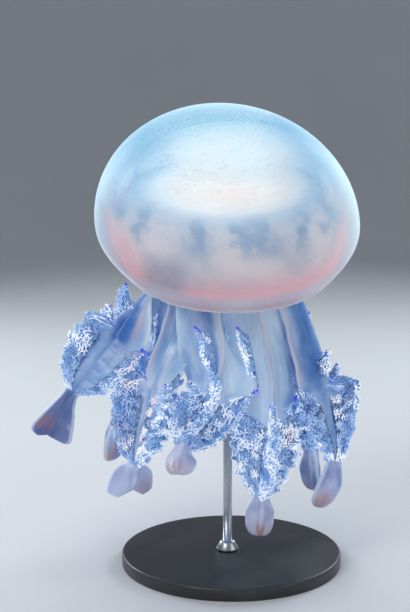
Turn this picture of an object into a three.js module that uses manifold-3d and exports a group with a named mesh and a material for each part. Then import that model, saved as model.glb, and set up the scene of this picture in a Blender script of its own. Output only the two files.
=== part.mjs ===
// Barrel jellyfish, life size, as a still museum model on a plain display stand.
// Units are millimetres. +Z is up, +X is to the animal's right as seen from the front,
// and the origin is the centre of the stand's underside.
//
// The animal is a thick domed bell with a turned-in rim, a gastric mass under the dome,
// four pillars that carry an arm disc, and eight oral arms. Each arm has a smooth upper
// part, a three-winged frilled part that starts at pointed ears, and a three-keeled club.
// Two small fins, the scapulets, stand on the outer side of each upper arm.
import * as THREE from "three";
import { mergeVertices } from "three/addons/utils/BufferGeometryUtils.js";
import Module from "manifold-3d";

const wasm = await Module();
wasm.setup();

// ---- Driving dimensions ------------------------------------------------------------
const GAP = 0.3; // clearance between pieces that touch in life

const BELL = {
  radius: 100, // at the equator, the widest place
  domeHeight: 87.5, // equator to the top
  skirtHeight: 40.5, // rim plane to equator
  rimRadius: 77,
  marginHeight: 7,
  marginWall: 2.6,
  cavityRadius: 81, // of the hollow under the dome, at the equator
  roofThickness: 32,
};
const BELL_SEAT = new THREE.Vector3(-0.8, 8.5, 231.5); // centre of the rim plane
const LEAN_FORWARD = THREE.MathUtils.degToRad(15);
const SWAY = -0.075; // sideways slant of the soft dome, per unit of height above the rim

const GASTRIC_FLOOR = 60; // heights above the rim plane
const DISC = { top: 45, floor: 33, radius: 36 };
const PILLAR = { count: 4, reach: 27, radius: 9.5, segments: 10 };
const ARM_ROOT_REACH = 25;
const ROOT_DEPTH = 5; // how far an arm is drawn into the disc before it is cut flush
const ARM_RIM_REACH = 43; // distance of an arm from the bell's axis at the rim plane
const ARM_RIM_DROP = -2;

const STAND = {
  radius: 86,
  thickness: 10,
  edge: 1.5,
  rod: 3.5,
  collar: 9,
  collarHeight: 7,
  cup: 10,
  cupHeight: 4,
};

// An arm hangs from azimuth (degrees, counter-clockwise from +X, seen from above) and runs
// through its knee, where the wings start, its neck, where they end, to its club's tip.
// ears is how far the outer, left and right wing reach from the axis, and club is the same
// for the club's keels. twist turns the wings about the arm, at its root and from the knee
// down. blunt keeps the club wide to the tip, and tails lets its keels hang lower. The
// higher fullness is, the lower down the wings keep their width. fins are the two
// scapulets: the turn from the outward direction, the start as a share of the upper arm,
// the reach from the axis, and the length.
const ARMS = {
  left: {
    azimuth: 157.5, knee: [-88, 6, 180], neck: [-122, 2, 139], tip: [-143, 2, 103],
    ears: [33, 30, 32], twist: [20, -30], club: [17, 8, 24], blunt: 1, tails: [4, 0, 0],
    fins: [[14, 0.92, 20, 11], [-20, 0.76, 20, 13]],
  },
  left_back: {
    azimuth: 112.5, knee: [-63, 52, 156], neck: [-91, 57, 102], tip: [-101, 56, 66],
    ears: [27, 26, 27], twist: [0, 0], club: [8, 13, 13], blunt: 0.4,
  },
  left_front: {
    azimuth: -157.5, knee: [-57, -15, 146], neck: [-72, -25, 87], tip: [-76, -23, 66],
    ears: [32, 31, 35], twist: [-50, 24], club: [20, 25, 6], blunt: 1, tails: [9, 7, 0],
    fins: [[64, 0.62, 17, 24], [-72, 0.56, 24, 32]],
  },
  front_left: {
    azimuth: -112.5, knee: [-10, -40, 148], neck: [-36, -66, 113], tip: [-41, -84, 97],
    ears: [27, 30, 24], twist: [-62, 0], club: [7, 13, 13], blunt: 0.4,
    fins: [[70, 0.62, 20, 30], [-72, 0.62, 16, 22]],
  },
  front_right: {
    azimuth: -67.5, knee: [29, -31, 132], neck: [22.5, -34, 64], tip: [21, -31, 32],
    ears: [31, 32, 31], twist: [40, 36], club: [5, 12, 13], blunt: 0.5,
    fins: [[76, 0.54, 17, 34], [-76, 0.6, 15, 24]],
  },
  right_front: {
    azimuth: -22.5, knee: [67, -9, 142], neck: [78, -14, 88], tip: [66, -13, 49],
    ears: [33, 31, 28], twist: [0, 8], club: [12, 12, 8], blunt: 0.3, fullness: 1.1,
    fins: [[22, 0.82, 17, 12], [-24, 0.92, 18, 10]],
  },
  right_back: {
    azimuth: 22.5, knee: [58, 46, 146], neck: [66, 52, 78], tip: [69, 49, 43],
    ears: [27, 26, 26], twist: [0, 0], club: [8, 12, 12], blunt: 0.35,
  },
  back: {
    azimuth: 67.5, knee: [-4, 62, 150], neck: [-5, 70, 106], tip: [-8, 67, 80],
    ears: [27, 25, 25], twist: [0, 0], club: [8, 12, 12], blunt: 0.35,
  },
};
const PLAIN_FINS = [[60, 0.6, 23, 27], [-60, 0.6, 23, 27]]; // of the arms that state none
const SIDE_WING = THREE.MathUtils.degToRad(116); // angle from the outer wing to each side wing
const ROOT_REACH = [7.5, 9.5]; // outer keel and side webs at the arm's root
const KNEE_REACH = [10.5, 19.5]; // and just above the knee
const NECK_REACH = 8;
const CORE = 4.6; // arm thickness between its wings, measured from the axis
const EAR_RISE = 0.07; // share of the frilled part over which an ear opens
const FULLNESS = 2.6; // of the arms that state none
const WING_HALF_THICKNESS = [2.7, 1.5]; // half way out and at the edge

const SCAPULET = { foot: 0.55, horn: 7, thickness: 2.6 };

// ---- Finishes, one per kind of tissue ----------------------------------------------
const finish = (color, roughness, metalness = 0) =>
  new THREE.MeshStandardMaterial({ color, roughness, metalness });
const FINISH = {
  bell: finish(0xcfe2ee, 0.25),
  margin: finish(0xb6aab2, 0.3),
  gastric: finish(0xe6e2e6, 0.45),
  pillar: finish(0xcfc6cf, 0.45),
  arm: finish(0x7ba0cf, 0.35),
  frill: finish(0xc3d3e6, 0.5),
  scapulet: finish(0xbccbe8, 0.5),
  club: finish(0x8496c4, 0.3),
  stand: finish(0x2b2d30, 0.5),
  steel: finish(0xb9bcc0, 0.3, 1),
};

// ---- Shape helpers -----------------------------------------------------------------

// Signed volume of an indexed triangle mesh; it is negative when the faces point inwards.
function signedVolume(points, triangles) {
  const cross = new THREE.Vector3();
  let sum = 0;
  for (let i = 0; i < triangles.length; i += 3) {
    const [a, b, c] = [points[triangles[i]], points[triangles[i + 1]], points[triangles[i + 2]]];
    sum += a.dot(cross.crossVectors(b, c)) / 6;
  }
  return sum;
}

function geometryFrom(points, triangles) {
  const turned = signedVolume(points, triangles) < 0 ? triangles.slice().reverse() : triangles;
  const geometry = new THREE.BufferGeometry().setFromPoints(points);
  return geometry.setIndex(turned);
}

// A closed solid through a row of rings of equal length. Open rows get a fan at each end,
// about the ring's middle; a looped row joins its last ring to its first.
function solidThroughRings(rings, looped = false) {
  const around = rings[0].length;
  const points = rings.flat();
  const triangles = [];
  const at = (ring, j) => (ring % rings.length) * around + (j % around);
  for (let i = 0; i < rings.length - (looped ? 0 : 1); i++) {
    for (let j = 0; j < around; j++) {
      triangles.push(at(i, j), at(i + 1, j), at(i + 1, j + 1));
      triangles.push(at(i, j), at(i + 1, j + 1), at(i, j + 1));
    }
  }
  if (!looped) {
    for (const ring of [0, rings.length - 1]) {
      const middle = new THREE.Vector3();
      rings[ring].forEach((p) => middle.addScaledVector(p, 1 / around));
      points.push(middle);
      for (let j = 0; j < around; j++) {
        const edge = ring ? [at(ring, j + 1), at(ring, j)] : [at(ring, j), at(ring, j + 1)];
        triangles.push(points.length - 1, ...edge);
      }
    }
  }
  return geometryFrom(points, triangles);
}

// A turned solid about +Z from [radius, height] pairs that start and end on the axis.
function turned(profile, segments) {
  const outline = profile.map(([r, z]) => new THREE.Vector2(r, z));
  return new THREE.LatheGeometry(outline, segments).rotateX(Math.PI / 2);
}

function toManifold(geometry) {
  const bare = geometry.clone();
  bare.deleteAttribute("normal");
  bare.deleteAttribute("uv");
  const merged = mergeVertices(bare, 1e-3);
  return new wasm.Manifold(
    new wasm.Mesh({
      numProp: 3,
      vertProperties: merged.attributes.position.array,
      triVerts: new Uint32Array(merged.index.array),
    }),
  );
}

function fromManifold(solid) {
  const mesh = solid.getMesh();
  const geometry = new THREE.BufferGeometry();
  geometry.setAttribute("position", new THREE.BufferAttribute(mesh.vertProperties, 3));
  return geometry.setIndex(new THREE.BufferAttribute(mesh.triVerts, 1));
}

const mix = THREE.MathUtils.lerp;
const smooth = (x, low, high) => THREE.MathUtils.smoothstep(x, low, high);
const steps = (count, from = 0, to = 1) =>
  Array.from({ length: count + 1 }, (_, i) => mix(from, to, i / count));

// ---- Bell --------------------------------------------------------------------------

// Outer radius of the bell at a height above the rim plane: an ellipse above the equator,
// and below it a quarter sine that turns in to the rim.
function bellRadius(height) {
  if (height < BELL.skirtHeight) {
    const share = Math.sin((Math.PI / 2) * (height / BELL.skirtHeight));
    return mix(BELL.rimRadius, BELL.radius, share);
  }
  const up = (height - BELL.skirtHeight) / BELL.domeHeight;
  return BELL.radius * Math.sqrt(Math.max(0, 1 - up * up));
}

// Radius of the hollow under the dome, which closes at the roof.
const CAVITY_TOP = BELL.skirtHeight + BELL.domeHeight - BELL.roofThickness;
const CAVITY_FLOOR_RADIUS = bellRadius(BELL.marginHeight + GAP) - BELL.marginWall;
function cavityRadius(height) {
  if (height < BELL.skirtHeight) {
    const low = BELL.marginHeight + GAP;
    const share = Math.sin((Math.PI / 2) * ((height - low) / (BELL.skirtHeight - low)));
    return mix(CAVITY_FLOOR_RADIUS, BELL.cavityRadius, share);
  }
  const up = (height - BELL.skirtHeight) / (CAVITY_TOP - BELL.skirtHeight);
  return BELL.cavityRadius * Math.sqrt(Math.max(0, 1 - up * up));
}

// Profile points from low up to a pole, evenly spaced in the angle of the upper ellipse.
function domeProfile(radiusAt, low, pole, skirtSteps, domeSteps) {
  const skirt = steps(skirtSteps, low, BELL.skirtHeight).map((z) => [radiusAt(z), z]);
  const angles = steps(domeSteps, 0, Math.PI / 2).slice(1, -1);
  const crown = angles.map((a) => {
    const z = mix(BELL.skirtHeight, pole, Math.sin(a));
    return [radiusAt(z), z];
  });
  return [...skirt, ...crown, [0, pole]];
}

const BELL_TOP = BELL.skirtHeight + BELL.domeHeight;
const BELL_SEGMENTS = 36;
const OUTSIDE = domeProfile(bellRadius, BELL.marginHeight + GAP, BELL_TOP, 3, 8);
const INSIDE = domeProfile(cavityRadius, BELL.marginHeight + GAP, CAVITY_TOP, 3, 6);

function umbrellaGeometry() {
  return turned([...INSIDE.slice().reverse(), ...OUTSIDE], BELL_SEGMENTS);
}

// The thin rim, notched a little at its eight sense organs.
function marginGeometry() {
  const segments = 56;
  const notchDepth = 1.2;
  const low = (angle) => notchDepth * Math.pow(Math.cos(4 * angle), 16);
  const rings = steps(segments).slice(0, -1).map((turn) => {
    const angle = turn * 2 * Math.PI;
    const point = (radius, height) =>
      new THREE.Vector3(radius * Math.cos(angle), radius * Math.sin(angle), height);
    const foot = low(angle);
    return [
      point(bellRadius(foot) - 0.4, foot),
      point(bellRadius(BELL.marginHeight / 2), BELL.marginHeight / 2),
      point(bellRadius(BELL.marginHeight), BELL.marginHeight),
      point(bellRadius(BELL.marginHeight) - BELL.marginWall, BELL.marginHeight),
      point(bellRadius(foot) - 1.6, foot),
    ];
  });
  return solidThroughRings(rings, true);
}

// It fills the hollow above its floor: the hollow's own outline, moved in and down a little.
function gastricGeometry() {
  const clear = 2 * GAP;
  const above = INSIDE.findIndex(([, z]) => z - clear > GASTRIC_FLOOR);
  const [[r0, z0], [r1, z1]] = [INSIDE[above - 1], INSIDE[above]];
  const edge = mix(r0, r1, (GASTRIC_FLOOR + clear - z0) / (z1 - z0)) - clear;
  const crown = INSIDE.slice(above).map(([r, z]) => [Math.max(0, r - clear), z - clear]);
  return turned([[0, GASTRIC_FLOOR], [edge, GASTRIC_FLOOR], ...crown], BELL_SEGMENTS);
}

function discGeometry() {
  const { top, floor, radius } = DISC;
  const middle = (top + floor) / 2;
  const belly = radius - 2;
  return turned([[0, floor], [belly, floor], [radius, middle], [belly, top], [0, top]], BELL_SEGMENTS);
}

// A waisted column between the disc and the gastric mass.
function pillarGeometry() {
  const [low, high] = [DISC.top + GAP, GASTRIC_FLOOR - GAP];
  const waist = (share) => PILLAR.radius * (1 - 0.22 * Math.sin(Math.PI * share));
  const side = steps(3).map((share) => [waist(share), mix(low, high, share)]);
  return turned([[0, low], ...side, [0, high]], PILLAR.segments);
}

// ---- Arms --------------------------------------------------------------------------

const bellTurn = new THREE.Matrix4()
  .makeRotationX(LEAN_FORWARD)
  .setPosition(BELL_SEAT)
  .multiply(new THREE.Matrix4().makeShear(0, 0, 0, 0, SWAY, 0));
const inBell = (azimuth, reach, height) =>
  new THREE.Vector3(reach * Math.cos(azimuth), reach * Math.sin(azimuth), height).applyMatrix4(bellTurn);

// The arm's axis, and how far along it, as shares of its length, the knee and neck lie.
function armAxis(arm) {
  const azimuth = THREE.MathUtils.degToRad(arm.azimuth);
  const [knee, neck, tip] = [arm.knee, arm.neck, arm.tip].map((p) => new THREE.Vector3(...p));
  const curve = new THREE.CatmullRomCurve3(
    [
      inBell(azimuth, ARM_ROOT_REACH, DISC.floor + ROOT_DEPTH),
      inBell(azimuth, ARM_RIM_REACH, ARM_RIM_DROP),
      knee, neck, tip,
    ],
    false,
    "centripetal",
  );
  const spacing = curve.getLengths(400);
  const shareAt = (t) => spacing[Math.round(t * 400)] / spacing[400];
  return { curve, kneeShare: shareAt(0.5), neckShare: shareAt(0.75), length: spacing[400] };
}

// Right-handed frame across the arm: outward is the level direction from the crown to the
// arm, or to its knee where the arm has turned, squared to the axis and then twisted.
function armFrame(arm, axis, share) {
  const tangent = axis.curve.getTangentAt(share);
  const level = new THREE.Vector3(arm.knee[0], arm.knee[1], 0).normalize();
  const outward = level.addScaledVector(tangent, -level.dot(tangent)).normalize();
  const twist = mix(...arm.twist, smooth(share / axis.kneeShare, 0.6, 1));
  outward.applyAxisAngle(tangent, THREE.MathUtils.degToRad(twist));
  const sideways = new THREE.Vector3().crossVectors(tangent, outward);
  return { origin: axis.curve.getPointAt(share), tangent, outward, sideways };
}

// Reach of the outer, left and right wing at a share of the arm's length.
function wingReaches(arm, axis, share) {
  const { kneeShare, neckShare } = axis;
  if (share <= kneeShare) {
    const down = share / kneeShare;
    const side = mix(ROOT_REACH[1], KNEE_REACH[1], Math.sin((Math.PI / 2) * down));
    return [mix(ROOT_REACH[0], KNEE_REACH[0], down), side, side];
  }
  if (share <= neckShare) {
    const along = (share - kneeShare) / (neckShare - kneeShare);
    const opening = smooth(along, 0, EAR_RISE);
    const narrowing = Math.pow(Math.max(0, (along - EAR_RISE) / (1 - EAR_RISE)), arm.fullness ?? FULLNESS);
    const start = [KNEE_REACH[0], KNEE_REACH[1], KNEE_REACH[1]];
    return arm.ears.map((ear, k) => mix(mix(start[k], ear, opening), NECK_REACH, narrowing));
  }
  // The keels swell from the neck, and close at the tip in a round or a blunt end.
  const along = (share - neckShare) / (1 - neckShare);
  const swell = smooth(along, 0, 0.5);
  const close = Math.sqrt(Math.max(0, 1 - Math.pow(along, mix(2.2, 9, arm.blunt))));
  return arm.club.map((keel) => Math.max(2.2, mix(NECK_REACH - 1, keel, swell) * close));
}

// One ring across the arm: each wing is a blade with four points, and the points between
// two wings lie on the core. grow thickens the whole ring evenly.
function armRing(arm, axis, share, grow = 0) {
  const { origin, tangent, outward, sideways } = armFrame(arm, axis, share);
  const reaches = wingReaches(arm, axis, share);
  const angles = [0, SIDE_WING, -SIDE_WING];
  const order = [0, 1, 2];
  const taper = share > axis.neckShare ? 1.15 : 1;
  const past = Math.max(0, (share - axis.neckShare) / (1 - axis.neckShare));
  const ring = [];
  for (const k of order) {
    const reach = reaches[k] + grow;
    const half = WING_HALF_THICKNESS.map((t) => Math.min(t * taper, reaches[k] * 0.3) + grow);
    const droop = (arm.tails?.[k] ?? 0) * smooth(past, 0.35, 0.9) * Math.min(1, (2 * reaches[k]) / arm.club[k]);
    const along = (distance, across) => {
      const [c, s] = [Math.cos(angles[k]), Math.sin(angles[k])];
      return origin.clone()
        .addScaledVector(tangent, droop * (distance / reach) ** 2)
        .addScaledVector(outward, distance * c - across * s)
        .addScaledVector(sideways, distance * s + across * c);
    };
    ring.push(along(reach * 0.55, -half[0]), along(reach, -half[1]));
    ring.push(along(reach, half[1]), along(reach * 0.55, half[0]));
    const next = angles[order[(k + 1) % 3]];
    const between = k === 1 ? Math.PI : (angles[k] + next) / 2;
    const core = Math.min(CORE, Math.min(...reaches) * 0.75) + grow;
    ring.push(
      origin.clone()
        .addScaledVector(outward, core * Math.cos(between))
        .addScaledVector(sideways, core * Math.sin(between)),
    );
  }
  return ring;
}

function armPart(arm, axis, from, to, count, grow = 0) {
  return solidThroughRings(steps(count, from, to).map((share) => armRing(arm, axis, share, grow)));
}

// The upper arm, cut flush with the floor of the arm disc. Its rings are closest where it
// turns most.
function upperArm(arm, axis, inset, grow = 0) {
  const shares = [0, 0.3, 0.6, 0.72, 0.84, 1].map((down) => down * (axis.kneeShare - inset));
  const whole = toManifold(solidThroughRings(shares.map((share) => armRing(arm, axis, share, grow))));
  const block = new THREE.CylinderGeometry(DISC.radius * 2, DISC.radius * 2, 40, 24).rotateX(Math.PI / 2);
  block.translate(0, 0, DISC.floor - GAP + 20).applyMatrix4(bellTurn);
  return whole.subtract(toManifold(block));
}

// The frilled part has more rings where its ears open than along the rest of it.
function frillShares({ kneeShare, neckShare }, inset = 0) {
  const at = (along) => mix(kneeShare, neckShare, along);
  const opening = steps(3, 0, EAR_RISE);
  const rest = steps(5, EAR_RISE, 1).slice(1);
  const shares = [...opening, ...rest].map(at);
  shares[0] += inset;
  shares[shares.length - 1] -= inset;
  return shares;
}

// ---- Scapulets ---------------------------------------------------------------------

// A fin with a pointed upper corner, cut to sit on its arm clear of every other solid.
function scapuletGeometry(arm, axis, [angle, start, reach, length], others) {
  const { foot, horn, thickness } = SCAPULET;
  const fin = new THREE.Shape();
  fin.moveTo(0, 0);
  fin.quadraticCurveTo(reach * 0.6, -horn * 0.2, reach, -horn);
  fin.quadraticCurveTo(reach * 0.96, length * 0.5, reach * foot, length);
  fin.lineTo(0, length * 0.9);
  const plate = new THREE.ExtrudeGeometry(fin, { depth: thickness, bevelEnabled: false, curveSegments: 3 });
  plate.translate(0, 0, -thickness / 2);
  const { origin, tangent, outward, sideways } = armFrame(arm, axis, axis.kneeShare * start);
  const turn = THREE.MathUtils.degToRad(angle);
  const away = outward.clone().multiplyScalar(Math.cos(turn)).addScaledVector(sideways, Math.sin(turn));
  const across = new THREE.Vector3().crossVectors(away, tangent);
  plate.applyMatrix4(new THREE.Matrix4().makeBasis(away, tangent, across).setPosition(origin));
  return fromManifold(others.reduce((rest, other) => rest.subtract(other), toManifold(plate)));
}

// ---- Assembly ----------------------------------------------------------------------

const jellyfish = new THREE.Group();

function piece(name, geometry, material) {
  const mesh = new THREE.Mesh(geometry, material);
  mesh.name = name;
  jellyfish.add(mesh);
  return mesh;
}

const bellPiece = (name, geometry, material) => piece(name, geometry.applyMatrix4(bellTurn), material);
bellPiece("bell_umbrella", umbrellaGeometry(), FINISH.bell);
bellPiece("bell_margin", marginGeometry(), FINISH.margin);
bellPiece("gastric_mass", gastricGeometry(), FINISH.gastric);
bellPiece("arm_disc", discGeometry(), FINISH.pillar);
for (let i = 0; i < PILLAR.count; i++) {
  const angle = ((i + 0.5) / PILLAR.count) * 2 * Math.PI;
  const [x, y] = [PILLAR.reach * Math.cos(angle), PILLAR.reach * Math.sin(angle)];
  bellPiece(`pillar_${i + 1}`, pillarGeometry().translate(x, y, 0), FINISH.pillar);
}

const arms = Object.entries(ARMS).map(([name, arm]) => ({ name, arm, axis: armAxis(arm) }));
const frillPart = (arm, axis, inset, grow) =>
  solidThroughRings(frillShares(axis, inset).map((share) => armRing(arm, axis, share, grow)));
const roomTaken = arms.flatMap(({ arm, axis }) => [
  upperArm(arm, axis, 0, GAP),
  toManifold(frillPart(arm, axis, -GAP / axis.length, GAP)),
]);
for (const { name, arm, axis } of arms) {
  const inset = GAP / 2 / axis.length;
  const frill = frillPart(arm, axis, inset, 0);
  const club = armPart(arm, axis, axis.neckShare + inset, 1, 5);
  piece(`arm_${name}_upper`, fromManifold(upperArm(arm, axis, inset)), FINISH.arm);
  piece(`arm_${name}_frill`, frill, FINISH.frill);
  piece(`arm_${name}_club`, club, FINISH.club);
  (arm.fins ?? PLAIN_FINS).forEach((fin, i) => {
    piece(`scapulet_${name}_${i + 1}`, scapuletGeometry(arm, axis, fin, roomTaken), FINISH.scapulet);
  });
}

// ---- Stand -------------------------------------------------------------------------

function standBase() {
  const { radius, thickness, edge } = STAND;
  return turned([[0, 0], [radius, 0], [radius, thickness - edge], [radius - edge, thickness], [0, thickness]], 48);
}

// A straight rod from a collar on the base to a small cup under the arm disc.
const cupFloor = DISC.floor - STAND.cupHeight;
const cupCentre = new THREE.Vector3(0, 0, cupFloor).applyMatrix4(bellTurn);
const rodBottom = STAND.thickness + STAND.collarHeight + 2 * GAP;
const rodTop = cupCentre.z - STAND.rod * Math.tan(LEAN_FORWARD) - 2 * GAP;

function collarGeometry() {
  const low = STAND.thickness + GAP;
  const high = low + STAND.collarHeight;
  return turned([[0, low], [STAND.collar, low], [STAND.collar * 0.6, high], [0, high]], 24);
}

function rodGeometry() {
  const rod = new THREE.CylinderGeometry(STAND.rod, STAND.rod, rodTop - rodBottom, 20);
  return rod.rotateX(Math.PI / 2).translate(0, 0, (rodTop + rodBottom) / 2);
}

function cupGeometry() {
  const rim = STAND.cupHeight - GAP;
  const profile = [[0, 0], [STAND.cup * 0.6, 0], [STAND.cup, rim], [0, rim]];
  return turned(profile, 20).translate(0, 0, cupFloor);
}

piece("stand_base", standBase(), FINISH.stand);
piece("stand_collar", collarGeometry().translate(cupCentre.x, cupCentre.y, 0), FINISH.steel);
piece("stand_rod", rodGeometry().translate(cupCentre.x, cupCentre.y, 0), FINISH.steel);
bellPiece("stand_cup", cupGeometry(), FINISH.steel);

export default jellyfish;
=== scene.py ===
"""A barrel jellyfish as a life-size museum model on a plain stand.

Every surface is worked out from formulas in metres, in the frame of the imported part: +Z up,
the front towards -Y, and the origin under the middle of the stand.
"""
import math

import bpy
import numpy as np
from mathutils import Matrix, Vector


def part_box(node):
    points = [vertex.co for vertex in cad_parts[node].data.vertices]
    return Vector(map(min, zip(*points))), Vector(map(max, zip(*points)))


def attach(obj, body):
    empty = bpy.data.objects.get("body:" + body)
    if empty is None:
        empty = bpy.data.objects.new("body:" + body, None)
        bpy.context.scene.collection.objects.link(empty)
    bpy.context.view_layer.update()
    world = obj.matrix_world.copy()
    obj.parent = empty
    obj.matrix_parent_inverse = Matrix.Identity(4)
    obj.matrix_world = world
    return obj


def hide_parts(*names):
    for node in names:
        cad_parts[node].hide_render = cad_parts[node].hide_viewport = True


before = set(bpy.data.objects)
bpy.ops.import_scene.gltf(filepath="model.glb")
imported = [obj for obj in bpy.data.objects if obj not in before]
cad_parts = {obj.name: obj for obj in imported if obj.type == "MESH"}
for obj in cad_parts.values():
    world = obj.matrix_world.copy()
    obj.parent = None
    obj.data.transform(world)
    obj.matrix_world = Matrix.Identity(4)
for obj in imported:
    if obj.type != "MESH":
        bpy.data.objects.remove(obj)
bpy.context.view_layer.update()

bl_info = {
    "name": "Barrel Jellyfish",
    "version": (1, 0, 0),
    "blender": (4, 5, 0),
    "location": "3D View > Sidebar > Jellyfish",
    "description": "Builds a life-size barrel jellyfish on a plain display stand",
    "category": "Add Mesh",
}

MM = 0.001


# ---- Sizes and places ----------------------------------------------------------------

SEAT = np.array([-0.8, 8.5, 231.5]) * MM  # centre of the bell's rim plane
LEAN = math.radians(15)  # of the bell towards the front
SWAY = -0.075  # sideways slant of the dome for each unit of height
RIM_RADIUS = 77 * MM
EQUATOR_RADIUS = 100 * MM
SKIRT_HEIGHT = 40.5 * MM  # rim plane to equator
DOME_HEIGHT = 87.5 * MM  # equator to top
BELL_TOP = SKIRT_HEIGHT + DOME_HEIGHT
LAPPETS = 80  # scallops of the rim
SENSE_ORGANS = 8  # notches between them
CAVITY_RADIUS = 81 * MM
CAVITY_TOP = BELL_TOP - 32 * MM  # of the ellipse that the flat ceiling cuts
CAVITY_FOOT = 7 * MM
DISC_FLOOR = 33 * MM
DISC_TOP = 45 * MM
DISC_RADIUS = 35.6 * MM
# Distance from the bell's axis and height of an arm at its root and near the rim plane.
ROOT = (25 * MM, DISC_FLOOR + 5 * MM)
RIM_PASS = (43 * MM, -2 * MM)
PILLAR_RADIUS = 9.4 * MM
PILLAR_PLACE = 27 * MM  # from the bell's axis
GASTRIC_FLOOR = 60 * MM
GASTRIC_HEIGHT = 5 * MM
# The bell's white middle glows with painted light.
LENS_SHIFT = 8 * MM  # of the bell's white middle from its axis
LENS_CENTRE = 78 * MM
LENS_COUNT = 12

# An arm hangs from azimuth (degrees from +X, seen from above) and runs through its knee,
# where the wings start, its neck, where they end, to the tip of its club. Places and
# reaches are in mm, and reaches count from the axis. Three values together belong to the
# outer, left and right wing.
#   ears      reach of the wings
#   twist     turn of the wings in degrees, at the root and from the knee down
#   club      reach of the club's keels
#   blunt     how far down the keels keep their width
#   tails     how much lower they hang at the tip
#   flare     share of the club over which they swell to their full reach
#   throat    most that they reach just under the neck
#   web       how much further the left and right web of the upper arm reach than plain ones
#   fullness  how far down the ears keep their width
#   bare      share of a wing, from the axis outwards, that has no frills
#   rust      how brown the tip of the club is
#   canal     place of the rosy canal round the section, and its half width there
PLAIN_ARM = dict(
    tails=(0, 0, 0), flare=0.5, throat=6.5, web=(0, 0), fullness=3.2, bare=(0, 0, 0),
    rust=(0.8, 0.8, 0.8), canal=(12, 1.5),
)
ARMS = {
    "left": dict(
        azimuth=157.5, knee=(-88, 6, 180), neck=(-122, 2, 139), tip=(-143, 2, 103),
        ears=(33, 30, 32), twist=(20, -30), club=(17, 8, 24), blunt=2.5, tails=(4, 0, -1),
        flare=1.0, web=(0, 11), bare=(0.45, 0, 0.72), rust=(0.9, 0.1, 0.0), canal=(6.4, 0.5),
    ),
    "left_back": dict(
        azimuth=112.5, knee=(-63, 52, 156), neck=(-91, 57, 102), tip=(-101, 56, 66),
        ears=(27, 26, 27), twist=(0, 0), club=(8, 13, 13), blunt=0.4,
    ),
    "left_front": dict(
        azimuth=-157.5, knee=(-57, -15, 146), neck=(-72, -25, 87), tip=(-76, -23, 66),
        ears=(32, 31, 35), twist=(-50, 24), club=(20, 25, 4), blunt=3, tails=(9, 7, -4),
        flare=0.8, throat=13, web=(8, 4), bare=(0.3, 0.5, 0), rust=(0.0, 0.4, 0.0), canal=(10.6, 0.6),
    ),
    "front_left": dict(
        azimuth=-112.5, knee=(-10, -40, 148), neck=(-36, -66, 113), tip=(-41, -84, 97),
        ears=(27, 30, 24), twist=(-52, 0), club=(7, 13, 13), blunt=0.4, web=(8, 6), rust=(1.0, 0.6, 0.6),
    ),
    "front_right": dict(
        azimuth=-67.5, knee=(29, -31, 132), neck=(22.5, -34, 64), tip=(21, -31, 32),
        ears=(31, 32, 31), twist=(30, 36), club=(5, 12, 13), blunt=0.5, tails=(0, 2, 2),
        web=(9, 0), rust=(0.9, 0.25, 0.3),
    ),
    "right_front": dict(
        azimuth=-22.5, knee=(67, -9, 142), neck=(78, -14, 88), tip=(66, -13, 49),
        ears=(33, 31, 28), twist=(0, 8), club=(12, 12, 8), blunt=0.3, fullness=1.1,
        bare=(0.25, 0.3, 0), canal=(20, 1.5),
    ),
    "right_back": dict(
        azimuth=22.5, knee=(58, 46, 146), neck=(66, 52, 78), tip=(69, 49, 43),
        ears=(27, 26, 26), twist=(0, 0), club=(8, 12, 12), blunt=0.35,
    ),
    "back": dict(
        azimuth=67.5, knee=(-4, 62, 150), neck=(-5, 70, 106), tip=(-8, 67, 80),
        ears=(27, 25, 25), twist=(0, 0), club=(8, 12, 12), blunt=0.35,
    ),
}
ROOT_REACH = (7.5, 10.5)  # mm, of the outer keel and the side webs at the root
KNEE_REACH = (10.5, 22.5)  # and at the knee
NECK_REACH = 7.4  # mm, where the wings end
EAR_MARGIN = 1.5  # mm, left at an ear's edge for its frills
SCALLOP = 0.05  # of an ear's reach, up and down along its edge
CORE = 4.4  # mm from the axis to the valleys between the wings
HALF_THICKNESS = (2.3, 1.7)  # mm, of a blade of the upper arm and of a frilled one
FOLD_PITCH = 9.5  # mm from one fold of a wing to the next
FOLD_DEPTH = 3.4  # mm to either side at the edge
HORN_RISE = 9.0  # mm by which an ear's upper corner is drawn up
SIDE_WING = math.radians(116)  # from the outer wing to each side wing
EAR_RISE = 0.07  # share of the frilled part over which an ear opens
# The two scapulets of an arm: the turn from the outward direction in degrees, the share of
# the upper arm where it starts, its reach and length in mm, and the size of its edge frills.
FINS = {
    "left": ((14, 0.95, 15, 12, 3.0), (-12, 0.78, 17, 14, 3.3)),
    "left_front": ((104, 0.62, 5, 20, 1.0), (-90, 0.56, 20, 44, 1.2)),
    "front_left": ((70, 0.62, 15, 44, 1.2), (-101, 0.62, 4, 18, 1.0)),
    "front_right": ((101, 0.56, 8, 40, 1.2), (-125, 0.60, 4, 18, 1.0)),
    "right_front": ((22, 0.84, 12, 12, 1.3), (-24, 0.95, 13, 12, 1.3)),
    "right_back": ((60, 0.70, 5, 20, 0.7), (-60, 0.70, 5, 20, 0.7)),
    "other": ((60, 0.60, 13, 27, 1.2), (-60, 0.60, 13, 27, 1.2)),
}
# The wings in their order round a section, which starts in the valley on the inner side:
# the place in ears, and the angle from the outward direction.
WINGS = ((2, -SIDE_WING), (0, 0.0), (1, SIDE_WING))
WING_ORDER = np.array([k for k, _ in WINGS])
# Across one wing, from one face round its edge to the other: the share of its reach, and
# the distance from its middle plane in half thicknesses.
HALF_BLADE = ((0.35, -1.15), (0.72, -0.95), (0.985, -0.5))
BLADE = (*HALF_BLADE, (1.03, 0.0), *((w, -t) for w, t in reversed(HALF_BLADE)))
BAKE_PATCH = 0.003  # side of the square that one sprout takes in the map OFBake

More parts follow.
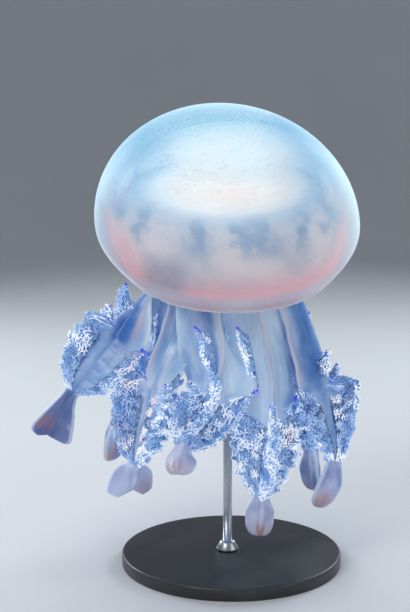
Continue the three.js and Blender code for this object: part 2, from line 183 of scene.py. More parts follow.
CAMERA_TARGET = np.array([-0.0207, 0.0, 0.205])  # a little left of the bell's axis
# Name, place, target, size in metres, power in watts, and colour.
LAMPS = (
    ("key", (-0.6, -0.8, 0.95), (0, 0, 0.25), 0.7, 7.0, (1.0, 0.985, 0.96)),
    ("fill", (0.95, -0.6, 0.5), (0, 0, 0.2), 0.8, 2.6, (0.94, 0.97, 1.0)),
    ("rim_right", (0.75, 0.9, 0.75), (0, 0, 0.28), 0.5, 7.0, (0.92, 0.97, 1.0)),
    ("rim_left", (-0.85, 0.8, 0.6), (0, 0, 0.28), 0.5, 6.5, (0.92, 0.97, 1.0)),
    ("top", (0.0, 0.1, 1.25), (0, 0, 0.3), 0.5, 4.0, (1.0, 1.0, 1.0)),
)


# ---- Plain mathematics ---------------------------------------------------------------

def smooth(x, low, high):
    """Smoothstep: 0 below low, 1 above high, 3t^2 - 2t^3 between."""
    t = np.clip((x - low) / np.where(high == low, 1e-9, high - low), 0.0, 1.0)
    return t * t * (3.0 - 2.0 * t)


def lerp(a, b, t):
    """Straight from a at t = 0 to b at t = 1."""
    return a + (b - a) * t


def unit(v):
    """v divided by its length, along the last axis."""
    return v / np.maximum(np.linalg.norm(v, axis=-1, keepdims=True), 1e-12)


def wobble(x, seed, octaves=3):
    """A smooth wave between -1 and 1: sines whose pitch doubles while their size halves."""
    rng = np.random.default_rng(seed)
    total = np.zeros_like(x, dtype=float)
    for octave in range(octaves):
        pitch = 2.0 ** octave * rng.uniform(0.85, 1.15)
        total = total + np.sin(2 * np.pi * (pitch * x + rng.uniform())) / 2.0 ** octave
    return total / 1.75


def in_bell(points):
    """Bell coordinates (across, deep, above the rim plane) into the frame: slanted
    sideways in proportion to height, leant forward about X, and moved to the seat."""
    x, y, z = points[..., 0] + SWAY * points[..., 2], points[..., 1], points[..., 2]
    c, s = math.cos(LEAN), math.sin(LEAN)
    return np.stack([x, y * c - z * s, y * s + z * c], -1) + SEAT


def bell_radius(h):
    """Outer radius at a height above the rim plane: a quarter sine up to the equator, then
    an ellipse up to the top."""
    skirt = lerp(RIM_RADIUS, EQUATOR_RADIUS, np.sin(np.pi / 2 * np.clip(h / SKIRT_HEIGHT, 0, 1)))
    up = np.clip((h - SKIRT_HEIGHT) / DOME_HEIGHT, 0, 1)
    return np.where(h < SKIRT_HEIGHT, skirt, EQUATOR_RADIUS * np.sqrt(1 - up * up))


def dome_line(low, equator, top, low_radius, radius, count):
    """Profile [radius, height] from a low edge up to a pole: a quarter sine below the
    equator and an ellipse above it, evenly spaced in angle above."""
    lower = count // 3
    h = np.linspace(low, equator, lower, endpoint=False)
    share = np.sin(np.pi / 2 * (h - low) / (equator - low))
    angle = np.linspace(0, np.pi / 2, count - lower)
    skirt = np.stack([lerp(low_radius, radius, share), h], -1)
    crown = np.stack([radius * np.cos(angle), equator + (top - equator) * np.sin(angle)], -1)
    crown[-1, 0] = 0
    return np.concatenate([skirt, crown])


def cavity_line(low, low_radius, grow, count=34):
    """Profile of the hollow under the bell, from its foot up to the flat ceiling."""
    line = dome_line(low, SKIRT_HEIGHT, CAVITY_TOP, low_radius, CAVITY_RADIUS + grow, count)
    line = line[line[:, 1] < GASTRIC_FLOOR + grow]
    share = 1 - (GASTRIC_FLOOR + grow - SKIRT_HEIGHT) ** 2 / (CAVITY_TOP - SKIRT_HEIGHT) ** 2
    reach = (CAVITY_RADIUS + grow) * math.sqrt(share)
    ceiling = np.stack([np.linspace(reach, 0, 8), np.full(8, GASTRIC_FLOOR + grow)], -1)
    return np.concatenate([line, ceiling])


# ---- Meshes --------------------------------------------------------------------------

def grid_faces(rows, columns):
    """Quads of a rows x columns grid of points whose rows are closed rings."""
    r, c = np.meshgrid(np.arange(rows - 1), np.arange(columns), indexing="ij")
    here, right = r * columns + c, r * columns + (c + 1) % columns
    return np.stack([here, right, right + columns, here + columns], -1).reshape(-1, 4)


def fan_faces(row, columns, pole, flip):
    """Triangles from one ring of a grid to a pole point, turned round if flip."""
    c = np.arange(columns)
    a, b = row * columns + c, row * columns + (c + 1) % columns
    return np.stack([b, a, np.full(columns, pole)] if flip else [a, b, np.full(columns, pole)], -1)


def end_faces(rows, columns):
    """Triangles that close both ends of a grid, to two points that follow its own."""
    pole = rows * columns
    return np.concatenate([
        fan_faces(0, columns, pole, True),
        fan_faces(rows - 1, columns, pole + 1, False),
    ])


def volume_of(points, triangles):
    """Signed volume: a sixth of the sum of a . (b x c) over the triangles."""
    a, b, c = points[triangles[:, 0]], points[triangles[:, 1]], points[triangles[:, 2]]
    return float(np.einsum("ij,ij->i", a, np.cross(b, c)).sum() / 6)


def make_piece(name, points, quads, triangles, finish, slot, replaces=(), values=None, uv=None):
    """A mesh object from arrays, with smooth faces that point outwards, point attributes
    from values and, if given, one UV pair for each point in the map OFBake."""
    quads = np.asarray(quads, dtype=np.int64).reshape(-1, 4)
    triangles = np.asarray(triangles, dtype=np.int64).reshape(-1, 3)
    whole = np.concatenate([quads[:, [0, 1, 2]], quads[:, [0, 2, 3]], triangles])
    if volume_of(points, whole) < 0:
        quads, triangles = quads[:, ::-1], triangles[:, ::-1]
    corners = np.concatenate([quads.ravel(), triangles.ravel()]).astype(np.int32)
    starts = np.concatenate([np.arange(len(quads)) * 4, len(quads) * 4 + np.arange(len(triangles)) * 3])
    mesh = bpy.data.meshes.new(name)
    mesh.vertices.add(len(points))
    mesh.vertices.foreach_set("co", np.asarray(points, dtype=np.float32).ravel())
    mesh.loops.add(len(corners))
    mesh.loops.foreach_set("vertex_index", corners)
    mesh.polygons.add(len(starts))
    mesh.polygons.foreach_set("loop_start", starts.astype(np.int32))
    mesh.update(calc_edges=True)
    if mesh.validate():
        raise RuntimeError(f"{name}: the mesh had faults")
    mesh.polygons.foreach_set("use_smooth", np.ones(len(starts), dtype=bool))
    for key, data in (values or {}).items():
        data = np.asarray(data, dtype=np.float32)
        kind, field = ("FLOAT_VECTOR", "vector") if data.ndim == 2 else ("FLOAT", "value")
        mesh.attributes.new(key, kind, "POINT").data.foreach_set(field, data.ravel())
    if uv is not None:
        layer = mesh.uv_layers.new(name="OFBake")
        layer.uv.foreach_set("vector", np.asarray(uv, dtype=np.float32)[corners].ravel())
    mesh.materials.append(finish)
    piece = bpy.data.objects.new(name, mesh)
    bpy.context.scene.collection.objects.link(piece)
    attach(piece, "root")
    if replaces:
        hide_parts(*replaces)


def bell_piece(name, shape, finish, slot, replaces=(), shift=(0, 0, 0)):
    """A piece from points, quads and triangles in bell coordinates, which its markings
    read in units of the bell's radius."""
    points, quads, triangles = shape
    points = points + np.array(shift)
    place = {"bell_place": points / EQUATOR_RADIUS}
    make_piece(name, in_bell(points), quads, triangles, finish, slot, replaces, place)


def revolve(profile, segments, ripple=None):
    """A closed solid of revolution in bell coordinates. The profile runs from pole to
    pole; ripple(turn, index) may add [radius, height] to its points. Returns points,
    quads and triangles."""
    turn = np.linspace(0, 2 * np.pi, segments, endpoint=False)
    ring = profile[1:-1]
    r = np.repeat(ring[:, :1], segments, 1)
    h = np.repeat(ring[:, 1:], segments, 1)
    if ripple is not None:
        dr, dh = ripple(turn[None, :], ring)
        r, h = r + dr, h + dh
    body = np.stack([r * np.cos(turn), r * np.sin(turn), h], -1).reshape(-1, 3)
    poles = np.array([[0, 0, profile[0, 1]], [0, 0, profile[-1, 1]]])
    points = np.concatenate([body, poles])
    return points, grid_faces(len(ring), segments), end_faces(len(ring), segments)


# ---- Shader helpers ------------------------------------------------------------------

def shade(red, green, blue):
    """A display colour, 0 to 255, as a linear colour with alpha, by the sRGB curve."""
    shares = (v / 255 for v in (red, green, blue))
    return (*(v / 12.92 if v <= 0.04045 else ((v + 0.055) / 1.055) ** 2.4 for v in shares), 1.0)


class Wire:
    """A shader value that Python arithmetic works on; each operation adds a Math node."""

    def __init__(self, finish, socket):
        self.finish = finish
        self.socket = socket

    def math(self, operation, *terms):
        return self.finish.node("ShaderNodeMath", {"operation": operation}, dict(enumerate(terms)))

    def __add__(self, other):
        return self.math("ADD", self, other)

    def __sub__(self, other):
        return self.math("SUBTRACT", self, other)

    def __rsub__(self, other):
        return self.math("SUBTRACT", other, self)

    def __mul__(self, other):
        return self.math("MULTIPLY", self, other)

    def __pow__(self, other):
        return self.math("POWER", self, other)

    __radd__ = __add__
    __rmul__ = __mul__

    def squared(self):
        return self * self

    def sine(self):
        return self.math("SINE", self)

    def ramp(self, low, high, start=0.0, end=1.0):
        """Smoothly from start at low to end at high."""
        settings = {"interpolation_type": "SMOOTHSTEP", "clamp": True}
        return self.finish.node("ShaderNodeMapRange", settings, {0: self, 1: low, 2: high, 3: start, 4: end})


class Finish:
    """One material: a Principled surface and the nodes that vary it."""

    def __init__(self, name, colour, **sockets):
        self.material = bpy.data.materials.new(name)
        self.material.use_nodes = True
        self.tree = self.material.node_tree
        self.surface = next(n for n in self.tree.nodes if n.type == "BSDF_PRINCIPLED")
        self.set(Base_Color=colour, **sockets)

    def set(self, **sockets):
        for name, value in sockets.items():
            self.feed(self.surface.inputs[name.replace("_", " ")], value)

    def feed(self, socket, value):
        if isinstance(value, Wire):
            self.tree.links.new(value.socket, socket)
        else:
            socket.default_value = value

    def node(self, kind, settings=None, sockets=None, output=0):
        """Adds a node, sets its settings first and then its sockets by index or name."""
        made = self.tree.nodes.new(kind)
        for name, value in (settings or {}).items():
            setattr(made, name, value)
        for key, value in (sockets or {}).items():
            self.feed(made.inputs[key], value)
        return Wire(self, made.outputs[output])

    def place(self):
        """Place in the frame, in metres."""
        return self.node("ShaderNodeTexCoord", output="Object")

    def value(self, name):
        """A point attribute of the piece, as one number."""
        return self.node("ShaderNodeAttribute", {"attribute_name": name}, output="Fac")

    def vector(self, name):
        """A point attribute of the piece, as a vector."""
        return self.node("ShaderNodeAttribute", {"attribute_name": name}, output="Vector")

    def parts(self, vector):
        split = self.node("ShaderNodeSeparateXYZ", None, {0: vector})
        return [Wire(self, out) for out in split.socket.node.outputs]

    def joined(self, x, y, z):
        return self.node("ShaderNodeCombineXYZ", None, {0: x, 1: y, 2: z})

    def noise(self, at, scale, detail, rough=0.5):
        sockets = {"Vector": at, "Scale": scale, "Detail": detail, "Roughness": rough}
        return self.node("ShaderNodeTexNoise", None, sockets, output="Fac")

    def cells(self, at, scale):
        """Distance to the nearest of many scattered points."""
        return self.node("ShaderNodeTexVoronoi", None, {"Vector": at, "Scale": scale}, output="Distance")

    def blend(self, factor, first, second, mode="MIX"):
        """first at factor 0, second at 1; a multiply mode takes their product at 1."""
        settings = {"data_type": "RGBA", "blend_type": mode, "clamp_factor": True}
        return self.node("ShaderNodeMix", settings, {0: factor, 6: first, 7: second}, output=2)

    def bump(self, height, distance, strength):
        sockets = {"Strength": strength, "Distance": distance, "Height": height}
        self.set(Normal=self.node("ShaderNodeBump", None, sockets))


# ---- Arm surface ---------------------------------------------------------------------

class Arm:
    """The axis of one arm and the winged surface round it."""

    CONTROLS = 24  # control points round a section, eight to a wing

    def __init__(self, name, seed):
        shape = {**PLAIN_ARM, **ARMS[name]}
        self.seed = seed
        self.ears = shape["ears"]
        self.club = shape["club"]
        self.blunt = shape["blunt"]
        self.tails = shape["tails"]
        self.flare = shape["flare"]
        self.throat = shape["throat"]
        self.web = (0, *shape["web"])
        self.fullness = shape["fullness"]
        self.bare = shape["bare"]
        self.rust = shape["rust"]
        self.canal = shape["canal"]
        azimuth = math.radians(shape["azimuth"])
        flat = np.array([math.cos(azimuth), math.sin(azimuth)])
        root, rim = (in_bell(np.array([*(flat * reach), height])) for reach, height in (ROOT, RIM_PASS))
        knee, neck, tip = (np.array(shape[k]) * MM for k in ("knee", "neck", "tip"))
        self.line, marks = self.axis_points(np.array([root, rim, knee, neck, tip]))
        step = np.linalg.norm(np.diff(self.line, axis=0), axis=1)
        reached = np.concatenate([[0], np.cumsum(step)])
        self.length = reached[-1]
        self.share = reached / self.length
        self.knee, self.neck = self.share[marks[2]], self.share[marks[3]]
        self.tangent = unit(np.gradient(self.line, reached, axis=0))
        level = np.array([knee[0], knee[1], 0.0])
        out = unit(level - self.tangent * (self.tangent @ level)[:, None])
        side = np.cross(self.tangent, out)
        twist = np.radians(lerp(*shape["twist"], smooth(self.share / self.knee, 0.6, 1.0)))[:, None]
        self.out = out * np.cos(twist) + side * np.sin(twist)
        self.side = np.cross(self.tangent, self.out)

    @staticmethod
    def axis_points(p, count=160):
        """Centripetal Catmull-Rom spline: between two points a cubic whose end slopes come
        from the neighbours, timed by the square root of the distances."""
        ends = np.concatenate([[2 * p[0] - p[1]], p, [2 * p[-1] - p[-2]]])
        t = np.linspace(0, 1, count, endpoint=False)[:, None]
        runs = []
        for a, b, c, d in zip(ends, ends[1:], ends[2:], ends[3:]):
            t0, t1, t2 = (math.sqrt(np.linalg.norm(v)) for v in (b - a, c - b, d - c))
            m1 = ((b - a) / t0 - (c - a) / (t0 + t1) + (c - b) / t1) * t1
            m2 = ((c - b) / t1 - (d - b) / (t1 + t2) + (d - c) / t2) * t1
            square, cube = -3 * b + 3 * c - 2 * m1 - m2, 2 * b - 2 * c + m1 + m2
            runs.append(b + m1 * t + square * t ** 2 + cube * t ** 3)
        return np.concatenate([*runs, p[-1:]]), [i * count for i in range(len(p))]

    def at(self, share):
        """Point, tangent, outward and sideways direction at shares of the length."""
        pick = [np.stack([np.interp(share, self.share, table[:, i]) for i in range(3)], -1)
                for table in (self.line, self.tangent, self.out, self.side)]
        return pick[0], unit(pick[1]), unit(pick[2]), unit(pick[3])

    def reaches(self, share):
        """Reach of the three wings in mm: keel and webs down to the knee, ears that open
        at once and narrow to the neck as 1 - x^fullness, and keels that swell into a club
        and close as the root of 1 - x^n, where n grows with blunt."""
        down = share / self.knee
        web = lerp(ROOT_REACH[1], KNEE_REACH[1], np.sin(np.pi / 2 * np.clip(down, 0, 1)))
        wide = smooth(down, -0.2, 0.45)
        keel = lerp(ROOT_REACH[0], KNEE_REACH[0], np.clip(down, 0, 1))
        upper = [keel, web + wide * self.web[1], web + wide * self.web[2]]
        along = np.clip((share - self.knee) / (self.neck - self.knee), 0, 1)
        opening = smooth(along, 0, EAR_RISE)
        narrowing = np.clip((along - EAR_RISE) / (1 - EAR_RISE), 0, 1) ** self.fullness
        past = np.clip((share - self.neck) / (1 - self.neck), 0, 1)
        close = np.sqrt(np.clip(1 - past ** lerp(2.2, 9, self.blunt), 0, 1))
        rows = []
        for k, ear in enumerate(self.ears):
            start = KNEE_REACH[1] + self.web[k] if k else KNEE_REACH[0]
            wing = lerp(lerp(start, ear - EAR_MARGIN, opening), NECK_REACH, narrowing)
            scallop = 1 + SCALLOP * wobble(along * 3.2, self.seed + 11 * k) * smooth(along, 0.02, 0.2)
            throat = lerp(PLAIN_ARM["throat"], min(self.throat, self.club[k]), smooth(past, 0, 0.25))
            club = lerp(throat, self.club[k], smooth(past, 0, self.flare)) * close
            lower = np.where(share <= self.neck, wing * scallop, club)
            rows.append(np.where(share <= self.knee, upper[k], lower))
        return np.stack(rows, -1)

    def controls(self, share):
        """Control points of the sections at the given shares: each wing is a blade that is
        ruffled sideways more the further out, and its upper corner is drawn up to a horn."""
        point, tangent, out, side = self.at(share)
        reach = self.reaches(share)
        along = (share - self.knee) / (self.neck - self.knee)
        past = np.clip((share - self.neck) / (1 - self.neck), 0, 1)
        frilled = smooth(along, -0.02, 0.1) * (1 - smooth(along, 0.9, 1.04))
        in_club = smooth(along, 0.97, 1.06)
        mm = share * self.length / MM
        core = np.minimum(CORE, reach.min(-1) * 0.72)
        rows = []
        for place, (k, angle) in enumerate(WINGS):
            valley = (math.pi, -SIDE_WING / 2, SIDE_WING / 2)[place]
            rows.append(point + (out * math.cos(valley) + side * math.sin(valley)) * (core * MM)[:, None])
            r = reach[:, k]
            thick = np.minimum(lerp(*HALF_THICKNESS, frilled), r * 0.28) * lerp(1.0, 1.25, in_club)
            pace = mm / FOLD_PITCH + 0.25 * wobble(mm / 31.0, self.seed + 5 * k)
            fold = (
                FOLD_DEPTH * np.sin(2 * np.pi * pace + 2.1 * k + self.seed)
                + 1.5 * wobble(mm / 5.2, self.seed + 5 * k + 1, 2)
            ) * frilled
            fold = fold + 0.9 * wobble(mm / 34.0, self.seed + 5 * k + 2) * (1 - frilled)
            horn = np.exp(-np.abs(along - 0.03) / 0.04)
            tail = self.tails[k] * smooth(past, 0.35, 0.9) * np.clip(2 * r / self.club[k], 0, 1)
            radial = out * math.cos(angle) + side * math.sin(angle)
            across = side * math.cos(angle) - out * math.sin(angle)
            for w, t in BLADE:
                shift = thick * t + fold * w ** 2.2
                slide = tail * w * w - HORN_RISE * w ** 4 * horn
                rows.append(
                    point + radial * (r * w * MM)[:, None] + across * (shift * MM)[:, None]
                    + tangent * (slide * MM)[:, None]
                )
        return np.stack(rows, 1)

    def surface(self, share, q):
        """Point of the skin: a closed uniform cubic B-spline round the section's controls,
        at q from 0 to 24."""
        controls = self.controls(share)
        base = np.floor(q).astype(int)
        t = (q - base)[:, None]
        weights = ((1 - t) ** 3, 3 * t ** 3 - 6 * t ** 2 + 4, -3 * t ** 3 + 3 * t ** 2 + 3 * t + 1, t ** 3)
        row = np.arange(len(share))
        return sum(w * controls[row, (base + k - 1) % self.CONTROLS] for k, w in enumerate(weights)) / 6

    def skin(self, rows, columns):
        """Grid of the whole arm from root to tip, rows x columns points, with the share and
        q of each. Rows are closest together where the wings are ruffled."""
        ease = np.linspace(0, 1, rows)
        marks = [0, self.knee - 0.02, self.knee + 0.05, self.neck, 1 - 0.02 * (1 - self.neck), 1]
        share = np.interp(ease, [0, 0.16, 0.28, 0.83, 0.97, 1], marks)
        q = np.linspace(0, self.CONTROLS, columns, endpoint=False)
        s, c = np.repeat(share, columns), np.tile(q, rows)
        return self.surface(s, c), s, c

    def lie(self, share, q):
        """Millimetres along the arm and round its section, for markings that follow it."""
        place = np.floor(q / 8).astype(int)
        reach = self.reaches(share)[np.arange(len(q)), WING_ORDER[place]]
        out = edge_share(q)
        round_mm = 80.0 * place + np.where(q % 8 < 4, out, 2 - out) * reach
        return np.stack([share * self.length / MM, round_mm, np.full_like(q, 40.0 * self.seed)], -1)


def all_arms():
    """The name and the Arm of all eight, each with a seed of its own."""
    return [(name, Arm(name, 3 + 7 * index)) for index, name in enumerate(ARMS)]


def wing_q(place, side, w):
    """Section parameter of a point on a wing, on its first or second face, where w runs
    from 0 in the valley to 1 at the edge."""
    step = np.interp(w, [0, 0.35, 0.72, 0.97, 1.06], [0, 1, 2, 3, 4])
    return 8 * place + (step if side == 0 else 8 - step)


def edge_share(q):
    """How far out a section parameter lies: 0 in a valley, 1 at a wing's edge."""
    step = np.abs((q % 8) - 4)
    return np.interp(step, [0, 1, 2, 3, 4], [1, 0.97, 0.72, 0.35, 0])


# ---- Frills --------------------------------------------------------------------------

def sprouts(start, end, normal, thick, thin, sides):
    """Straight tapered sprouts with a closed foot and a pointed tip: two rings of points
    and a tip each. All arguments but the last are arrays with one row for each sprout.
    Returns points, quads, triangles, and the share along its sprout of each point."""
    stations = (0.0, 0.92)
    along = unit(end - start)
    first = unit(normal - along * np.einsum("ij,ij->i", normal, along)[:, None])
    second = np.cross(along, first)
    angle = (np.arange(sides) + 0.5) * 2 * np.pi / sides
    circle = first[:, None] * np.cos(angle)[:, None] + second[:, None] * np.sin(angle)[:, None]
    rings = [lerp(start, end, t)[:, None] + lerp(thick, thin, t)[:, None, None] * circle for t in stations]
    tip = end + along * (thin * 0.5)[:, None]
    block = np.concatenate([*rings, tip[:, None]], 1)
    per = block.shape[1]
    c = np.arange(sides)
    right = (c + 1) % sides
    quads = np.stack([c, right, sides + right, sides + c], -1)
    cap = np.stack([sides + c, sides + right, np.full(sides, per - 1)], -1)
    foot = np.array([[0, i + 2, i + 1] for i in range(sides - 2)])
    offset = (np.arange(len(start)) * per)[:, None, None]
    return (
        block.reshape(-1, 3),
        (quads + offset).reshape(-1, 4),
        (np.concatenate([cap, foot]) + offset).reshape(-1, 3),
        np.tile([*np.repeat(stations, sides), 1.0], len(start)),
    )


class Thicket:
    """Collects sprouts for one joined piece. root is the place of a sprout's foot in the
    map OFBake, tint how white it is, and violet how violet."""

    def __init__(self):
        self.batches = []
        self.count = 0

    def add(self, start, end, normal, thick, thin, root, tint, violet, sides=4):
        points, quads, triangles, share = sprouts(start, end, normal, thick, thin, sides)
        per = len(points) // len(start)
        column = np.tile(np.arange(per) % sides, len(start)) / (sides - 1)
        uv = np.repeat(root, per, 0) + (np.stack([column, share], -1) - 0.5) * BAKE_PATCH
        values = [share, np.repeat(tint, per), np.repeat(violet, per)]
        self.batches.append((points, quads + self.count, triangles + self.count, values, uv))
        self.count += len(points)

    def piece(self, name, finish, slot, replaces=()):
        points, quads, triangles, values, uv = zip(*self.batches)
        keys = ("along", "tint", "violet")
        data = {key: np.concatenate([v[i] for v in values]) for i, key in enumerate(keys)}
        make_piece(
            name, np.concatenate(points), np.concatenate(quads), np.concatenate(triangles),
            finish, slot, replaces, data, np.concatenate(uv),
        )


def grow_corals(thicket, point, normal, lean, size, rng, root, tint, violet):
    """A compact coral on each point: a stem, three boughs from its end, and a bud on each
    bough, every one turned aside from the one before by a random vector."""
    def aside(direction, amount):
        """The direction turned by a random vector of about that length."""
        return unit(direction + rng.normal(0, amount, direction.shape))

    length = size[:, None] * MM
    foot = point - lean * (0.3 * MM)
    stem = point + lean * length
    girth = lerp(0.5, 0.62, np.clip(size / 2, 0, 1)) * MM
    thicket.add(foot, stem, normal, girth * 1.2, girth * 1.05, root, tint * 0.5, violet * 0.5)
    for _ in range(3):
        way = aside(lean, 0.75)
        end = stem + way * length * rng.uniform(0.55, 0.8, length.shape)
        thicket.add(stem, end, normal, girth, girth * 0.9, root, tint, violet)
        tip = end + aside(way, 0.7) * length * 0.4
        thicket.add(end, tip, normal, girth * 0.85, girth * 0.8, root, np.clip(tint + 0.5, 0, 1), violet)


def place_in(uv_box, at):
    """Shares along and across a wing into its box of the map OFBake, which is given as
    left, right, bottom, top."""
    left, right, bottom, top = uv_box
    return lerp(np.array([left, bottom]), np.array([right, top]), at)


def ear_corner(at):
    """How violet a place on a wing is: a bell curve along it, at the outer upper corner."""
    return np.exp(-(at[:, 0] / 0.07) ** 2) * smooth(at[:, 1], 0.7, 1.0)


def grow_edge(thicket, place, length, rng, gap, uv_box, vigour=1.0):
    """Corals along the edge of a wing, leaning out and to either side of it. vigour scales
    their size."""
    count = max(4, int(length / gap))
    for hand in (-1, 1):
        for level, out_share in ((0.93, 0.15), (1.0, 0.75)):
            s = np.clip((np.arange(count) + 0.5 + rng.uniform(-0.5, 0.5, count)) / count, 0, 1)
            point, normal, outward = place(s, np.full(count, level))
            tangent = np.cross(outward, normal)
            way = outward * out_share + normal * hand * rng.uniform(0.5, 1.1, (count, 1))
            lean = unit(way + tangent * rng.normal(0, 0.45, (count, 1)))
            violet = np.exp(-(s / 0.055) ** 2)
            size = rng.uniform(0.55, 1.0, count) * vigour * lerp(0.8, 1.0, smooth(s, 0, 0.2))
            root = place_in(uv_box, np.stack([s, np.ones(count)], -1))
            tint = rng.uniform(0.4, 1, count)
            grow_corals(thicket, point, normal * hand, lean, size, rng, root, tint, violet)


def tree_lines(start, rng, pitch):
    """Zigzag trees on flat ground, one from each row of start. A trunk runs outward; at
    each of its five bends a twig leaves it, by turns to the left and right, and each twig
    has two buds. Returns the ends and relative girth of every line, tree after tree for
    each kind of line in turn, and which trees are bold ones."""
    n = len(start)

    def ahead(begin, heading, distance):
        """A distance on from begin, at an angle from straight outwards."""
        return begin + np.stack([np.sin(heading), np.cos(heading)], -1) * distance[:, None]

    heading = rng.normal(0, 0.45, n)
    bold = rng.uniform(0, 1, n) < 0.3
    size = rng.uniform(0.75, 1.05, n) * np.where(bold, 1.5, 0.95) * pitch
    lines = []
    for i in range(5):
        hand = 1 if i % 2 else -1
        way = heading + 0.5 * hand + rng.normal(0, 0.25, n)
        bend = ahead(start, way, size * 0.36)
        lines.append((start, bend, np.full(n, 1.0 - 0.07 * i)))
        twig_way = way + 1.1 * hand + rng.normal(0, 0.2, n)
        twig = ahead(bend, twig_way, size * rng.uniform(0.28, 0.46, n))
        lines.append((bend, twig, np.full(n, 0.8)))
        for turn in (-0.9, 0.9):
            foot = lerp(bend, twig, rng.uniform(0.45, 0.95, (n, 1)))
            bud = ahead(foot, twig_way + turn, size * rng.uniform(0.14, 0.24, n))
            lines.append((foot, bud, np.full(n, 0.7)))
        start = bend
    first, last, girth = (np.concatenate(part) for part in zip(*lines))
    return first, last, girth, bold, len(lines)


def grow_face(thicket, place, length, breadth, rng, pitch, uv_box, fade=0.0, bare=0.0):
    """Covers one face of a wing with frost-like trees, and the ground between them with
    grains. place(s, w) gives points, normals and outward directions for s along the wing
    and w across it, both 0 to 1. fade leaves the root of the wing bare down to that share,
    and bare its inner part out to that one. length and breadth are in metres."""
    rows = max(2, round(breadth / (pitch * 1.25)))
    count = max(3, round(length / pitch))
    row, column = (g.ravel() for g in np.meshgrid(np.arange(rows), np.arange(count), indexing="ij"))
    n = len(row)
    s = (column + 0.25 + 0.5 * (row % 2) + rng.uniform(-0.3, 0.3, n)) / count
    w = (row + 0.2 + rng.uniform(-0.25, 0.25, n)) / rows

    def covered(at):
        """Whether a place is outside the bare root and the bare inner part."""
        return (at[:, 0] > fade * (1 - at[:, 1])) & (at[:, 1] > bare)

    scale = np.array([length, breadth])
    first, last, girth, bold, kinds = tree_lines(np.stack([s, w], -1) * scale, rng, pitch)
    first, last = first / scale, last / scale
    tint = np.tile(np.where(bold, 1.0, rng.uniform(0.0, 0.5, n)), kinds)
    girth = girth * np.tile(np.where(bold, 1.25, 0.9), kinds)
    inside = np.all((last >= 0) & (last <= 1) & (first <= 1), -1) & covered(last)
    first, last, girth, tint = first[inside], last[inside], girth[inside], tint[inside]
    point_a, normal_a, _ = place(*first.T)
    point_b, normal_b, _ = place(*last.T)
    lift = lerp(0.3, 0.6, tint[:, None]) * MM
    low, high = point_a + normal_a * lift, point_b + normal_b * lift
    thick = girth * lerp(0.46, 0.36, last[:, 1]) * MM
    thicket.add(
        low, high, unit(normal_a + normal_b), thick * 1.08, thick * 0.92,
        place_in(uv_box, last), tint, ear_corner(last), 3,
    )

    grains = rng.uniform(0, 1, (n * 5, 2))
    grains = grains[covered(grains)]
    m = len(grains)
    point, normal, outward = place(*grains.T)
    lean = unit(normal + outward * rng.normal(0, 0.5, (m, 1)))
    thick = rng.uniform(0.22, 0.46, m) * MM
    top = point + lean * (thick[:, None] + 0.25 * MM)
    thicket.add(
        point, top, normal, thick, thick * 0.8,
        place_in(uv_box, grains), rng.uniform(0, 0.6, m), ear_corner(grains), 3,
    )


def wing_place(arm, wing, side, start, stop):
    """place function of one face of a wing between two shares of the arm."""
    def place(s, w):
        share = lerp(start, stop, s)
        here = arm.surface(share, wing_q(wing, side, w))
        further = arm.surface(share, wing_q(wing, side, np.minimum(w + 0.03, 1.05)))
        nearer = arm.surface(share, wing_q(wing, side, np.minimum(w, 1.02) - 0.03))
        below = arm.surface(share + 0.002, wing_q(wing, side, w))
        outward = unit(further - nearer)
        normal = unit(np.cross(outward, below - here))
        return here, normal * (-1 if side else 1), outward
    return place


# ---- Scapulets -----------------------------------------------------------------------

def fin_place(arm, fin, hand):
    """locate and place functions of one face of a scapulet, hand 1 or -1: a fin on the
    upper arm whose reach is greatest near its upper corner, waved sideways in proportion
    to the square of the distance out."""
    turn, start, span, length, _ = fin
    point, tangent, out, side = (v[0] for v in arm.at(np.array([arm.knee * start])))
    away = out * math.cos(math.radians(turn)) + side * math.sin(math.radians(turn))
    across = np.cross(away, tangent)
    foot = lerp(7.0, 12.0, abs(turn) / 90) - 3

    def locate(s, w):
        """Point of the face: down the arm, out from it, and to the side, in mm."""
        reach = lerp(span, span * 0.5, smooth(s, 0.05, 1.0)) * smooth(s, -0.25, 0.06)
        shift = 1.8 * np.sin(s * 13 + arm.seed) * w * w + (1 - w ** 3) * hand
        down = s * length - 8 * w * w * (1 - s)
        moves = zip((tangent, away, across), (down, foot + reach * w, shift))
        return point + sum(way * (distance * MM)[:, None] for way, distance in moves)

    def place(s, w):
        w = np.clip(w, 0, 1)
        here = locate(s, w)
        outward = unit(locate(s, w + 0.04) - locate(s, w - 0.04))
        normal = unit(np.cross(outward, locate(s + 0.02, w) - here))
        return here, normal * np.sign(normal @ across)[:, None] * hand, outward

    return locate, place


def fin_skin(arm, fin, rows=24, columns=12):
    """Both faces of a scapulet as one closed sheet: out along one face, round the edge,
    and back along the other."""
    s, w = np.repeat(np.linspace(0, 1, rows), columns), np.tile(np.linspace(0, 1, columns), rows)
    near, far = (fin_place(arm, fin, hand)[0](s, w).reshape(rows, columns, 3) for hand in (1, -1))
    ring = np.concatenate([near, far[:, ::-1]], 1)
    points = np.concatenate([ring.reshape(-1, 3), [ring[0].mean(0), ring[-1].mean(0)]])
    return points, grid_faces(rows, columns * 2), end_faces(rows, columns * 2)


# ---- Finishes ------------------------------------------------------------------------

def bell_coordinates(finish):
    """Across, deep and height of the bell in units of its radius."""
    return finish.parts(finish.vector("bell_place"))


def turn_about(x, y):
    """The turn about the bell's axis."""
    return y.math("ARCTAN2", y, x)


